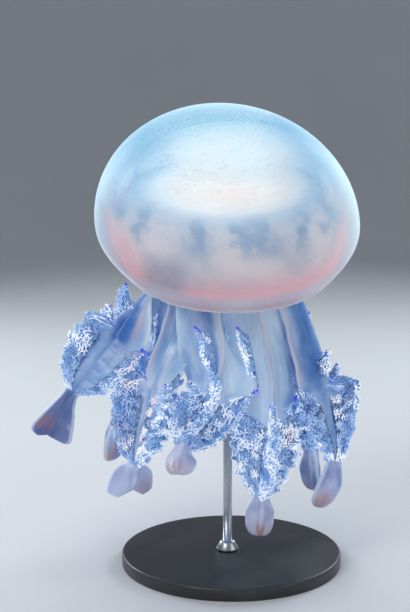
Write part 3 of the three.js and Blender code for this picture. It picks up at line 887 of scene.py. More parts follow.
def clear_jelly(settings):
    """Outer bell: clear blue jelly with a fine granular skin, a rosy foot and a pale edge. It glows faintly
    as painted light, with a painted rim light where it is seen edge-on and on its right flank, painted light
    on its right side and painted shade on its lower left.
    """
    f = Finish(
        "bell_jelly", shade(150, 206, 235), Roughness=0.4, IOR=1.34, Coat_Weight=0.2,
        Coat_Roughness=0.25, Emission_Strength=0.22, Sheen_Weight=0.8, Sheen_Roughness=0.3,
        Sheen_Tint=(0.8, 0.94, 1.0, 1.0),
    )
    x, y, h = bell_coordinates(f)
    place = f.vector("bell_place")
    cloud = f.noise(place, 2.2, 3.0)
    reach = (x.squared() + y.squared()) ** 0.5
    sky = f.blend(h.ramp(0.45, 1.2), shade(170, 208, 232), shade(156, 216, 244))
    rosy = f.blend(h.ramp(0.02, 0.36), shade(206, 184, 194), sky)
    rim = f.blend(h.ramp(0.05, 0.12), shade(184, 164, 172), rosy)
    line = h.ramp(0.018, 0.004)
    colour = f.blend(cloud.ramp(0.35, 0.75) * 0.25, rim, shade(214, 234, 246))
    dash = f.cells(f.joined(turn_about(x, y) * 11.0, reach * 42.0, h * 3.0), 1.0)
    crown = h.ramp(0.7, 1.05) * reach.ramp(0.05, 0.2)
    colour = f.blend(dash.ramp(0.34, 0.12) * crown, colour, shade(60, 130, 186))
    both_sides = x.squared().ramp(0.02, 0.4) * h.ramp(0.55, 0.9)
    colour = f.blend(both_sides * 0.75, colour, shade(104, 188, 230))
    colour = f.blend(x.ramp(0.2, 0.6) * h.ramp(0.7, 0.95) * 0.9, colour, shade(64, 170, 224))
    # Painted light: the right side of the bell, between the rosy foot and the crown, is made paler as if lit
    # from there.
    painted_light_right = x.ramp(0.45, 0.95) * h.ramp(1.0, 0.6) * h.ramp(0.2, 0.4)
    colour = f.blend(painted_light_right * 0.8, colour, shade(204, 246, 255))
    # Painted shade: the lower left of the bell is darkened to a dull mauve.
    colour = f.blend(x.ramp(-0.3, -0.8) * h.ramp(0.45, 0.25) * 0.6, colour, shade(150, 138, 156))
    fleck = f.cells(place, 21.0).ramp(0.09, 0.04)
    colour = f.blend(fleck * 0.7, colour, shade(244, 250, 252))
    colour = f.blend(line, colour, shade(206, 196, 202))
    # Painted rim light: the skin's glow turns bright where it is seen edge-on and on its right flank;
    # elsewhere it glows faintly in its own colour.
    graze = f.node("ShaderNodeLayerWeight", None, {"Blend": 0.5}, output="Facing")
    painted_rim_glow = graze ** 3.5 + x.ramp(0.5, 0.95) * h.ramp(0.95, 0.6) * 0.42
    painted_rim_colour = f.blend(h.ramp(0.12, 0.5), (0.9, 0.72, 0.82, 1.0), (2.6, 3.3, 3.7, 1.0))
    grain = f.cells(place, 70.0)
    f.set(
        Base_Color=colour, Emission_Color=f.blend(painted_rim_glow, colour, painted_rim_colour),
        Roughness=grain.ramp(0.0, 0.6, 0.34, 0.5),
    )
    cover = h.ramp(0.09, 0.3, settings.clearness + 0.3, settings.clearness)
    f.set(Alpha=graze ** 3.0 * 0.62 + cover + line * 0.4 + fleck * 0.3)
    swell = f.noise(place, 9.0, 2.0)
    f.bump(grain * h.ramp(0.3, 1.0, 0.4, 1.0) + dash * crown * 0.8 + swell * 0.6, 0.0006, 0.5)
    return f.material


def haze_jelly(name, alpha, low, high):
    """Milky jelly between the skin and the inner dome, which glows in its own colour as painted light."""
    f = Finish(name, high, Roughness=0.7, Emission_Strength=0.22, Specular_IOR_Level=0.0)
    h = bell_coordinates(f)[2]
    cloud = f.noise(f.vector("bell_place"), 2.6, 2.0)
    colour = f.blend(h.ramp(0.48, 1.0), low, high)
    # Painted glow in the haze's own colour.
    f.set(Base_Color=colour, Emission_Color=colour, Alpha=alpha * cloud.ramp(0.3, 0.7, 0.85, 1.15))
    return f.material


def wall_jelly(name, cover):
    """Inner wall of the bell: a rosy band at its foot, mottled mauve above it, then a ring
    of blue windows between pale pillars; it clears towards the crown. It glows faintly as
    painted light, brighter on its back half up high, and painted shade darkens its lower left front."""
    f = Finish(name, shade(208, 200, 210), Roughness=0.6, Emission_Strength=0.2, Specular_IOR_Level=0.1)
    x, y, h = bell_coordinates(f)
    place = f.vector("bell_place")
    drift = f.noise(place, 2.6, 3.0)
    fine = f.noise(place, 10.0, 4.0, 0.6)
    crown = f.blend(h.ramp(0.70, 0.98), shade(230, 228, 232), shade(192, 226, 244))
    mottled = f.blend(drift.ramp(0.35, 0.65), shade(180, 184, 196), shade(240, 226, 216))
    warm = f.blend(fine.ramp(0.45, 0.62) * 0.8, mottled, shade(226, 208, 200))
    colour = f.blend(h.ramp(0.50, 0.78), warm, crown)
    petal = (turn_about(x, y) * 13.0 + 0.9 + drift * 11.0).sine()
    zone = h.ramp(0.40, 0.56) * h.ramp(0.84, 0.62)
    window = (petal * 0.35 + fine * 3.2 - 1.36).ramp(0.2, 0.6) * zone
    colour = f.blend(window * 0.9, colour, shade(120, 156, 190))
    pillar = petal.ramp(-0.3, -0.95) * zone
    colour = f.blend(pillar * 0.5, colour, shade(226, 220, 224))
    flank = (x - 0.06).squared().ramp(0.30, 0.70) * y.ramp(0.6, 0.0) * 0.2
    rosy = (h - flank).ramp(0.42, 0.14) * drift.ramp(0.2, 0.75, 0.6, 1.0)
    colour = f.blend(rosy * 0.9, colour, shade(246, 172, 166))
    colour = f.blend(h.ramp(0.13, 0.10) * 0.6, colour, shade(206, 170, 180))
    colour = f.blend(h.ramp(0.21, 0.17) * h.ramp(0.11, 0.15) * 0.7, colour, shade(255, 160, 142))
    # Painted shade on the lower left front of the wall.
    painted_shade_front_left = x.ramp(-0.25, -0.42) * x.ramp(-0.68, -0.56) * y.ramp(0.2, -0.2) * h.ramp(0.5, 0.34)
    colour = f.blend(painted_shade_front_left * (fine + 0.4) * 0.8, colour, shade(134, 112, 130))
    # Painted light: the wall glows in its own colour, and much brighter and bluer on its back half from the
    # middle up.
    far = f.blend(y.ramp(-0.1, 0.3) * h.ramp(0.5, 0.66), colour, (1.25, 1.6, 1.8, 1.0))
    f.set(Base_Color=colour, Emission_Color=far, Alpha=h.ramp(0.56, 0.83, cover, 0.02))
    f.bump(fine, 0.0012, 0.4)
    return f.material


def lens_jelly(name, alpha, glow, radius):
    """White translucent mass in the middle of the bell, which glows with painted light and thins
    out towards the edge of its layer. radius is that of the layer, in units of the bell's."""
    f = Finish(name, shade(250, 252, 255), Roughness=0.8, Emission_Strength=glow, Specular_IOR_Level=0.0)
    x, y, _ = bell_coordinates(f)
    cloud = f.noise(f.vector("bell_place"), 3.0, 2.0)
    colour = f.blend(cloud.ramp(0.3, 0.7), shade(255, 240, 228), shade(255, 250, 244))
    spread = ((x - LENS_SHIFT / EQUATOR_RADIUS).squared() + y.squared()) ** 0.5
    fade = spread.ramp(radius, radius * 0.6)
    # Painted glow in the mass's own white.
    f.set(Base_Color=colour, Emission_Color=colour, Alpha=alpha * fade * cloud.ramp(0.3, 0.7, 0.9, 1.1))
    return f.material


def soft_tissue():
    """Stomach, pillars and disc: cream-white to rosy tissue with fine radial muscle lines and a
    faint painted glow, and a roof that is white and glowing with painted light in its middle and
    a darker blue-grey round it, as painted shade."""
    f = Finish(
        "soft_tissue", shade(226, 214, 220), Roughness=0.5, Subsurface_Weight=0.3,
        Subsurface_Radius=(0.012, 0.009, 0.008), Subsurface_Scale=1.0, Emission_Strength=0.32,
    )
    x, y, h = bell_coordinates(f)
    drift = f.noise(f.vector("bell_place"), 4.0, 4.0)
    lines = (turn_about(x, y) * 64.0 + drift * 6.0).sine()
    colour = f.blend(drift.ramp(0.3, 0.7), shade(206, 196, 214), shade(236, 224, 226))
    colour = f.blend(lines.ramp(0.2, 1.0) * 0.25, colour, shade(216, 176, 186))
    # Painted light and shade on the stomach's roof: a white glow in its middle that fades to a darker
    # blue-grey at its edge.
    roof = h.ramp(0.60, 0.63)
    middle = ((x.squared() + y.squared()) ** 0.5).ramp(0.76, 0.46)
    colour = f.blend(roof, colour, f.blend(middle, shade(172, 188, 212), shade(255, 250, 246)))
    f.set(Base_Color=colour, Emission_Color=f.blend(roof * middle * 0.5 + 0.25, (0, 0, 0, 1), colour))
    f.bump(lines * 0.3 + drift, 0.0010, 0.4)
    return f.material


def flank_of(x):
    """How far a place of the arms is to the left or right of their middle, squared."""
    return (x + 0.012).squared().ramp(0.0008, 0.0052)


def arm_jelly():
    """Smooth blue arm jelly with a faint painted glow: deep blue in the creases as painted shade,
    milky on the blades and between the front arms, where painted light lifts it further, a rosy
    canal down each outer keel, a dark bed with pale grains under the frills, darkened by painted
    shade low down and in dark pits, and lilac clubs with orange-brown tips and pale edges that
    are a painted highlight."""
    f = Finish(
        "arm_jelly", shade(110, 150, 200), Roughness=0.34, IOR=1.35, Coat_Weight=0.35,
        Coat_Roughness=0.15, Subsurface_Weight=0.5, Subsurface_Radius=(0.005, 0.008, 0.013),
        Subsurface_Scale=1.0, Emission_Strength=0.12,
    )
    along, out, canal, brown = (f.value(n) for n in ("along", "out", "canal", "brown"))
    place, lie = f.place(), f.vector("lie")
    drift = f.noise(place, 30.0, 3.0, 0.5)
    s, r, t = f.parts(lie)
    strand = f.noise(f.joined(s * 0.035, r * 0.085, t), 1.0, 3.0, 0.5)
    deep = f.blend(drift.ramp(0.3, 0.7), shade(56, 106, 180), shade(104, 152, 208))
    milky = f.blend(strand.ramp(0.3, 0.72), shade(140, 178, 218), shade(206, 221, 236))
    x = f.parts(place)[0]
    flank = flank_of(x)
    # Between the front arms the jelly is milky in its own colour and painted lighter still, as painted
    # light.
    middle = (x - 0.014).squared().ramp(0.0009, 0.0001) * 0.55
    # Painted shade, with random tone: the jelly darkens towards the valleys between the wings and pales out
    # on the blades.
    light = out * 0.4 + drift * 0.7 + along.ramp(0.3, 0.95) * 0.35
    light = light - flank * along.ramp(0.9, 1.2, 0.55, 0.25) + middle + 0.1
    colour = f.blend(light.ramp(0.25, 0.95), deep, milky)
    colour = f.blend(middle, colour, shade(208, 226, 242))
    frilled = (f.value("frill") + (drift - 0.5) * 0.8).ramp(0.25, 0.75)
    # Painted shade: the bed under the frills is darkest where it lies low, towards the valleys, and varies
    # at random.
    height = (out + drift * 1.6 - flank * 0.3 - x.ramp(0.015, 0.05) * 0.35).ramp(0.5, 1.6)
    bed = f.blend(height, shade(26, 58, 122), shade(104, 150, 202))
    colour = f.blend(frilled * 0.9, colour, bed)
    bent = f.joined(s + drift * 3.0, r + strand * 3.0, t)
    patch = f.noise(bent, 0.16, 2.0)
    grain = f.cells(bent, 0.8).ramp(0.55, 0.15) * (patch + out * 0.15).ramp(0.4, 0.66) * frilled
    # Painted shade: dark pits in the hollows of the frilled bed.
    painted_pit_shade = f.cells(bent, 0.3).ramp(0.5, 0.2) * patch.ramp(0.52, 0.36) * frilled
    colour = f.blend(painted_pit_shade * 0.7, colour, shade(20, 48, 108))
    colour = f.blend(grain * 0.85, colour, shade(206, 222, 240))
    colour = f.blend(f.value("horn").ramp(0.55, 0.95), colour, shade(92, 84, 224))
    rosy = f.blend(strand, shade(170, 170, 188), shade(206, 190, 196))
    colour = f.blend(canal * 0.85, colour, rosy)
    club = along.ramp(1.97, 2.1)
    cloud = (strand * 0.5 + drift * 0.8 - flank * 0.05).ramp(0.3, 0.7)
    lilac = f.blend(cloud, shade(96, 118, 172), shade(198, 204, 230))
    lilac = f.blend(x.ramp(-0.1, -0.13) * 0.8, lilac, shade(38, 70, 138))
    colour = f.blend(club * 0.9, colour, lilac)
    streak = brown * (strand * 0.5 + drift * 0.7).ramp(0.45, 0.7)
    colour = f.blend(streak * 0.85, colour, shade(176, 104, 66))
    # Painted highlight: pale edges along the keels and clubs.
    edge = (out + drift * 0.05).ramp(0.93, 1.01) * (1 - frilled)
    colour = f.blend(edge * (club * 0.35 + 0.2), colour, shade(214, 228, 244))
    # Painted glow: the jelly emits its own colour faintly.
    f.set(Base_Color=colour, Emission_Color=colour)
    f.bump(strand * 0.5 + drift * 0.3 + grain * 0.5, 0.0010, 0.5)
    return f.material


def frill_tissue():
    """White branching frills, greyer blue at their roots, violet at the corners of the ears
    and rosy in patches; they glow with painted light, and a painted shadow darkens them low down, left of
    the middle."""
    f = Finish(
        "frill_tissue", shade(232, 238, 248), Roughness=0.4, IOR=1.36, Coat_Weight=0.25,
        Coat_Roughness=0.2, Subsurface_Weight=0.06, Subsurface_Radius=(0.002, 0.002, 0.003),
        Subsurface_Scale=1.0, Emission_Strength=0.5,
    )
    along, tint, violet = (f.value(n) for n in ("along", "tint", "violet"))
    place = f.place()
    drift = f.noise(place, 55.0, 3.0)
    root = f.blend(drift.ramp(0.3, 0.7), shade(140, 176, 216), shade(184, 202, 226))
    x, y, z = f.parts(place)
    tip = f.blend(tint + x.ramp(0.015, 0.05) * 0.4, shade(176, 202, 230), shade(255, 255, 255))
    colour = f.blend(along.ramp(0.0, 0.6) * 0.4 + tint.ramp(0.1, 0.9) * 0.6, root, tip)
    cool = f.noise(place, 42.0, 2.0, 0.6) - flank_of(x) * 0.09
    colour = f.blend(cool.ramp(0.5, 0.36) * 0.6, colour, shade(128, 172, 218))
    # Painted shadow over the frills low down, a little left of the middle.
    painted_shadow_low = (x + 0.03).squared().ramp(0.0004, 0.0) * (z - y * 0.3).ramp(0.17, 0.15)
    colour = f.blend(painted_shadow_low * 0.25, colour, shade(112, 150, 200))
    blush = f.noise(place, 21.0, 2.0).ramp(0.58, 0.72)
    colour = f.blend(blush * 0.35, colour, shade(236, 196, 194))
    colour = f.blend(violet.ramp(0.05, 0.6), colour, shade(86, 78, 226))
    # Painted glow: the frills emit their own colour, squared.
    f.set(Base_Color=colour, Emission_Color=f.blend(1.0, colour, colour, "MULTIPLY"))
    f.bump(f.noise(place, 700.0, 2.0), 0.0002, 0.3)
    return f.material


def satin_paint():
    """Near-black paint of the stand, a little worn in patches."""
    f = Finish("stand_paint", shade(44, 46, 50), Roughness=0.42, Coat_Weight=0.15, Coat_Roughness=0.3)
    place = f.place()
    wear = f.noise(place, 22.0, 4.0)
    f.set(
        Base_Color=f.blend(wear.ramp(0.35, 0.75), shade(38, 40, 44), shade(54, 56, 60)),
        Roughness=wear.ramp(0.3, 0.8, 0.36, 0.5),
    )
    f.bump(f.noise(place, 900.0, 3.0), 0.00015, 0.35)
    return f.material


def brushed_steel():
    """Steel with fine lines round its rod."""
    f = Finish("stand_steel", shade(196, 198, 202), Metallic=1.0, Roughness=0.3)
    x, y, z = f.parts(f.place())
    lines = f.noise(f.joined(x * 60.0, y * 60.0, z * 2400.0), 1.0, 3.0)
    f.set(
        Base_Color=f.blend(lines, shade(168, 171, 176), shade(208, 210, 214)),
        Roughness=lines.ramp(0.2, 0.8, 0.24, 0.42),
    )
    f.bump(lines, 0.00008, 0.3)
    return f.material


def studio_paper():
    """Pale paper of the studio floor."""
    f = Finish("floor_paper", shade(224, 226, 230), Roughness=0.75, Specular_IOR_Level=0.2)
    place = f.place()
    f.set(Base_Color=f.blend(f.noise(place, 3.0, 2.0), shade(206, 209, 214), shade(216, 219, 224)))
    f.bump(f.noise(place, 400.0, 2.0), 0.0002, 0.2)
    return f.material


# ---- Settings ------------------------------------------------------------------------

class BellSettings(bpy.types.PropertyGroup):
    """Sizes of the outer bell"""
    clearness: bpy.props.FloatProperty(
        name="Skin cover", description="How much of the light the outer bell keeps back",
        default=0.27, min=0.0, max=1.0, subtype="FACTOR",
    )
    segments: bpy.props.IntProperty(
        name="Segments", description="Points round the bell, five to a rim lappet", default=400, min=80,
    )
    lappet: bpy.props.FloatProperty(
        name="Lappet depth", description="Depth of the scallops of the rim", default=0.3 * MM, unit="LENGTH",
    )


class ArmSettings(bpy.types.PropertyGroup):
    """Fineness of the arms and their frills"""
    rows: bpy.props.IntProperty(name="Rows", description="Sections along an arm", default=240, min=40)
    columns: bpy.props.IntProperty(name="Columns", description="Points round a section", default=72, min=24)
    pitch: bpy.props.FloatProperty(
        name="Frill spacing", description="Distance between frills", default=4.4 * MM, unit="LENGTH",
    )


class StageSettings(bpy.types.PropertyGroup):
    """Camera and studio floor"""
    distance: bpy.props.FloatProperty(
        name="Camera distance", description="From the camera to the middle of the model",
        default=1.107, unit="LENGTH",
    )
    elevation: bpy.props.FloatProperty(
        name="Camera elevation", description="How far the camera looks down", default=math.radians(10),
        subtype="ANGLE",
    )
    lens: bpy.props.FloatProperty(name="Lens", description="Focal length in millimetres", default=85.0)
    floor_radius: bpy.props.FloatProperty(
        name="Floor radius", description="Flat part of the studio floor", default=1.7, unit="LENGTH",
    )


# ---- Operators -----------------------------------------------------------------------

class JELLY_OT_bell(bpy.types.Operator):
    """Builds the clear outer bell with its rim of lappets"""
    bl_idname = "jelly.bell"
    bl_label = "Bell"

    def execute(self, context):
        settings = context.scene.jelly_bell
        outer = dome_line(0.0, SKIRT_HEIGHT, BELL_TOP, RIM_RADIUS, EQUATOR_RADIUS, 74)[::-1]
        turn_in = np.array([[76.6, -0.5], [75.9, -0.7], [75.2, -0.4], [75.0, 0.6], [76.2, 3.4]]) * MM
        inner = cavity_line(CAVITY_FOOT, bell_radius(CAVITY_FOOT) - 2.6 * MM, 0.4 * MM)

        def lappets(turn, ring):
            """Heights near the rim move by 1 - |sin| of half the lappets times the turn, and
            by a narrow notch at each sense organ."""
            near = np.exp(-np.clip(ring[:, 1:], 0, None) / (1.6 * MM))
            scallop = 1 - np.abs(np.sin(LAPPETS / 2 * turn))
            notch = np.cos(SENSE_ORGANS / 2 * turn) ** 60
            return 0.0, near * (settings.lappet * scallop + 1.0 * MM * notch)

        shape = revolve(np.concatenate([outer, turn_in, inner]), settings.segments, lappets)
        bell_piece("bell_skin", shape, clear_jelly(settings), "bell_jelly", ("bell_umbrella", "bell_margin"))
        return {"FINISHED"}


class JELLY_OT_inner_bell(bpy.types.Operator):
    """Builds the milky layers, the wall and the white middle inside the clear bell"""
    bl_idname = "jelly.inner_bell"
    bl_label = "Inner bell"

    def execute(self, context):
        haze = shade(214, 192, 204), shade(176, 224, 244)
        # Name, depth under the skin at the equator and at the top in mm, and finish.
        layers = (
            ("bell_haze_outer", 4.0, 6.0, haze_jelly("haze_outer", 0.12, *haze)),
            ("bell_haze_inner", 6.8, 11.0, haze_jelly("haze_inner", 0.14, *haze)),
            ("bell_wall_outer", 9.4, 14.0, wall_jelly("wall_outer", 0.34)),
            ("bell_wall_middle", 11.6, 16.5, wall_jelly("wall_middle", 0.5)),
            ("bell_wall_inner", 13.8, 19.0, wall_jelly("wall_inner", 0.97)),
        )
        for name, side, top, finish in layers:
            low = CAVITY_FOOT + side * 0.35 * MM
            low_radius = float(bell_radius(low)) - side * 0.62 * MM
            radius, height = EQUATOR_RADIUS - side * MM, BELL_TOP - top * MM
            shell = dome_line(low, SKIRT_HEIGHT, height, low_radius, radius, 60)[::-1]
            hollow = cavity_line(low, 82.6 * MM, (0.6 + side * 0.05) * MM)
            bell_piece(name, revolve(np.concatenate([shell, hollow]), 160), finish, "bell_jelly")
        self.lenses()
        return {"FINISHED"}

    @staticmethod
    def lenses():
        """Flattened balls, one in another, higher above their centre than below it; they
        get smaller and denser inwards, so the white has no outline."""
        angle = np.linspace(np.pi / 2, -np.pi / 2, 40)
        for i in range(LENS_COUNT):
            t = i / (LENS_COUNT - 1)
            radius, up, down = (lerp(a, b, t) * MM for a, b in ((72, 30), (34, 6), (12, 4)))
            alpha = lerp(0.2, 0.5, t) if t < 1 else 1.0
            half = np.where(angle > 0, up, down)
            profile = np.stack([radius * np.cos(angle), LENS_CENTRE + half * np.sin(angle)], -1)
            profile[[0, -1], 0] = 0
            finish = lens_jelly(f"lens_{i + 1}", alpha, lerp(0.2, 0.25, t), radius / EQUATOR_RADIUS)
            bell_piece(
                f"bell_lens_{i + 1}", revolve(profile, 96), finish, "inner_tissue",
                ("gastric_mass",), (LENS_SHIFT, 0, 0),
            )


class JELLY_OT_underside(bpy.types.Operator):
    """Builds the stomach, its four pillars and the arm disc under the bell"""
    bl_idname = "jelly.underside"
    bl_label = "Underside"

    def execute(self, context):
        finish = soft_tissue()
        share = (GASTRIC_FLOOR - SKIRT_HEIGHT) / (CAVITY_TOP - SKIRT_HEIGHT)
        reach = CAVITY_RADIUS * math.sqrt(1 - share ** 2)
        floor = np.stack([np.linspace(0, reach - 3 * MM, 16), np.full(16, GASTRIC_FLOOR)], -1)
        edge = np.array([[-1.2, 1.2], [-1.0, 3.0], [-2.4, 4.4], [-6.0, 5.0]]) * MM + [reach, GASTRIC_FLOOR]
        profile = np.concatenate([floor, edge, [[0, GASTRIC_FLOOR + GASTRIC_HEIGHT]]])

        def folds(turn, ring):
            """The floor dips in sixteen radial folds that fade towards the middle."""
            low = (ring[:, 1:] < GASTRIC_FLOOR + 1 * MM) * smooth(ring[:, :1], 15 * MM, 60 * MM)
            return 0.0, -1.6 * MM * low * (0.5 + 0.5 * np.cos(16 * turn))

        bell_piece("stomach", revolve(profile, 128, folds), finish, "inner_tissue", ("gastric_mass",))
        self.disc_and_pillars(finish)
        return {"FINISHED"}

    @staticmethod
    def disc_and_pillars(finish):
        """Disc: a superellipse profile, |r/R|^3 + |h/H|^3 = 1. Pillars: waisted columns
        whose radius is R (1 - 0.22 sin pi t)."""
        middle, half = (DISC_FLOOR + DISC_TOP) / 2, (DISC_TOP - DISC_FLOOR) / 2
        angle = np.linspace(-np.pi / 2, np.pi / 2, 30)
        c, s = np.cos(angle), np.sin(angle)
        heights = middle + half * np.sign(s) * np.abs(s) ** (2 / 3)
        profile = np.stack([DISC_RADIUS * np.abs(c) ** (2 / 3), heights], -1)
        profile[[0, -1], 0] = 0
        bell_piece("arm_disc_skin", revolve(profile, 96), finish, "inner_tissue", ("arm_disc",))
        t = np.linspace(0, 1, 18)
        waist = PILLAR_RADIUS * (1 - 0.22 * np.sin(np.pi * t))
        side = np.stack([waist, lerp(DISC_TOP, GASTRIC_FLOOR, t)], -1)
        column = revolve(np.concatenate([[[0, side[0, 1]]], side, [[0, side[-1, 1]]]]), 40)
        for i in range(4):
            turn = (i + 0.5) * math.pi / 2
            shift = PILLAR_PLACE * math.cos(turn), PILLAR_PLACE * math.sin(turn), 0
            bell_piece(f"pillar_skin_{i + 1}", column, finish, "inner_tissue", (f"pillar_{i + 1}",), shift)


class JELLY_OT_arms(bpy.types.Operator):
    """Builds the smooth skin of the eight arms, from root to club"""
    bl_idname = "jelly.arms"
    bl_label = "Arms"

    def execute(self, context):
        settings = context.scene.jelly_arms
        finish = arm_jelly()
        rows, columns = settings.rows, settings.columns
        for name, arm in all_arms():
            points, share, q = arm.skin(rows, columns)
            points = np.concatenate([points, [points[:columns].mean(0), points[-columns:].mean(0)]])
            make_piece(
                f"arm_{name}_skin", points, grid_faces(rows, columns), end_faces(rows, columns),
                finish, "arm_jelly", (f"arm_{name}_upper", f"arm_{name}_club"),
                self.markings(arm, np.append(share, [0, 1]), np.append(q, [0, 0])),
            )
        return {"FINISHED"}

    @staticmethod
    def markings(arm, share, q):
        """What the arm's finish reads at each point: along, 0 at the root, 1 at the knee,
        2 at the neck and 3 at the tip; out, how far from the axis; and how much of the
        rosy canal, the brown tip, the bed of the frills and the violet corner it has."""
        along = np.interp(share, [0, arm.knee, arm.neck, 1], [0, 1, 2, 3])
        edge = edge_share(q)
        wing = WING_ORDER[np.minimum(q // 8, 2).astype(int)]
        keen = np.where(np.array(arm.club) < 10, 0.9, 1.0)[wing]
        keel = np.exp(-((q - arm.canal[0]) / arm.canal[1]) ** 4)
        bare = np.array(arm.bare)[wing]
        under_frills = smooth(along + 0.22 * edge, 1.12, 1.3) * smooth(along, 2.06, 1.94)
        return {
            "along": along,
            "out": edge * lerp(1.0, keen, smooth(along, 1.9, 2.1)),
            "canal": keel * (1 - smooth(along, 0.88, 1.0)) * smooth(along, 0.05, 0.3),
            "brown": smooth(along, 2.45, 2.9) * np.array(arm.rust)[wing],
            "lie": arm.lie(share, q),
            "frill": under_frills * smooth(edge, bare - 0.25, bare + 0.05),
            "horn": np.exp(-np.abs(along - 1.02) / 0.035) * edge ** 6,
        }


class JELLY_OT_frills(bpy.types.Operator):
    """Grows the branching frills on the wings of the eight arms"""
    bl_idname = "jelly.frills"
    bl_label = "Frills"

    def execute(self, context):
        settings = context.scene.jelly_arms
        finish = frill_tissue()
        pitch = settings.pitch * 1.0
        for index, (name, arm) in enumerate(all_arms()):
            rng = np.random.default_rng(100 + index)
            thicket = Thicket()
            start, stop = arm.knee - 0.02, lerp(arm.neck, 1, 0.03)
            length = (stop - start) * arm.length
            for wing, k in enumerate(WING_ORDER):
                for side in (0, 1):
                    place = wing_place(arm, wing, side, start, stop)
                    low = (wing * 2 + side) / 6 + 0.01
                    box = (0.02, 0.98, low, low + 0.14)
                    grow_face(thicket, place, length, arm.ears[k] * MM, rng, pitch, box, 0.24, arm.bare[k])
                grow_edge(thicket, place, length, rng, pitch * 0.36, box)
            thicket.piece(f"arm_{name}_frills", finish, "frill_tissue", (f"arm_{name}_frill",))
        return {"FINISHED"}


class JELLY_OT_scapulets(bpy.types.Operator):
    """Builds the two frilled fins on each upper arm"""
    bl_idname = "jelly.scapulets"
    bl_label = "Scapulets"

    def execute(self, context):
        settings = context.scene.jelly_arms
        pitch = settings.pitch * 1.1
        thicket = Thicket()
        bodies, nodes, count = [], [], 0
        rng = np.random.default_rng(77)
        for index, (name, arm) in enumerate(all_arms()):
            for number, fin in enumerate(FINS.get(name, FINS["other"])):
                points, quads, triangles = fin_skin(arm, fin)
                bodies.append((points, quads + count, triangles + count))
                count += len(points)
                nodes.append(f"scapulet_{name}_{number + 1}")
                reach, length, vigour = fin[2] * MM, fin[3] * MM, fin[4]
                for face, hand in enumerate((-1, 1)):
                    _, place = fin_place(arm, fin, hand)
                    cell = (index * 4 + number * 2 + face) / 32
                    box = (0.02, 0.98, cell + 0.003, cell + 0.028)
                    grow_face(thicket, place, length, reach, rng, pitch, box)
                grow_edge(thicket, place, length, rng, pitch * 0.36, box, vigour)
        points, quads, triangles = (np.concatenate(part) for part in zip(*bodies))
        level = {"along": 1.5, "out": 0.6, "frill": 1.0, "canal": 0.0, "brown": 0.0, "horn": 0.0}
        values = {key: np.full(len(points), value) for key, value in level.items()}
        values["lie"] = points / MM
        make_piece("scapulet_skins", points, quads, triangles, arm_jelly(), "arm_jelly", (), values)
        thicket.piece("scapulet_frills", frill_tissue(), "frill_tissue", nodes)
        return {"FINISHED"}


class JELLY_OT_stand(bpy.types.Operator):
    """Builds the painted disc, the collar and the rod of the stand, and gives its cup steel"""
    bl_idname = "jelly.stand"
    bl_label = "Stand"

    def execute(self, context):
        steel = brushed_steel()
        radius, height, corner, chamfer = 86, 10, 1.8, 0.6
        turn = np.linspace(0, np.pi / 2, 8)
        edge = np.stack([np.cos(turn), np.sin(turn)], -1) * corner + [radius - corner, height - corner]
        foot = [[0, 0], [60, 0], [radius - chamfer, 0], [radius, chamfer]]
        base = np.concatenate([foot, edge, [[60, height], [0, height]]]) * MM
        make_piece("stand_base_disc", *revolve(base, 256), satin_paint(), "stand_black", ("stand_base",))

        low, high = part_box("stand_rod")
        start = height + 0.3
        collar = [[0, 0], [8.6, 0], [9, 0.5], [9, 1.4], [6.2, 5.4], [5.4, 7], [3.7, 7]]
        top = high[2] / MM - start
        rod = [[3.5, 7], [3.5, 40], [3.5, top - 0.5], [0, top]]
        points, quads, triangles = revolve((np.array(collar + rod) + [0, start]) * MM, 64)
        points = points + np.array([(low[0] + high[0]) / 2, (low[1] + high[1]) / 2, 0])
        replaced = ("stand_rod", "stand_collar")
        make_piece("stand_post", points, quads, triangles, steel, "stand_steel", replaced)
        cup = bpy.data.objects["stand_cup"]
        cup.data.materials.clear()
        cup.data.materials.append(steel)
        return {"FINISHED"}


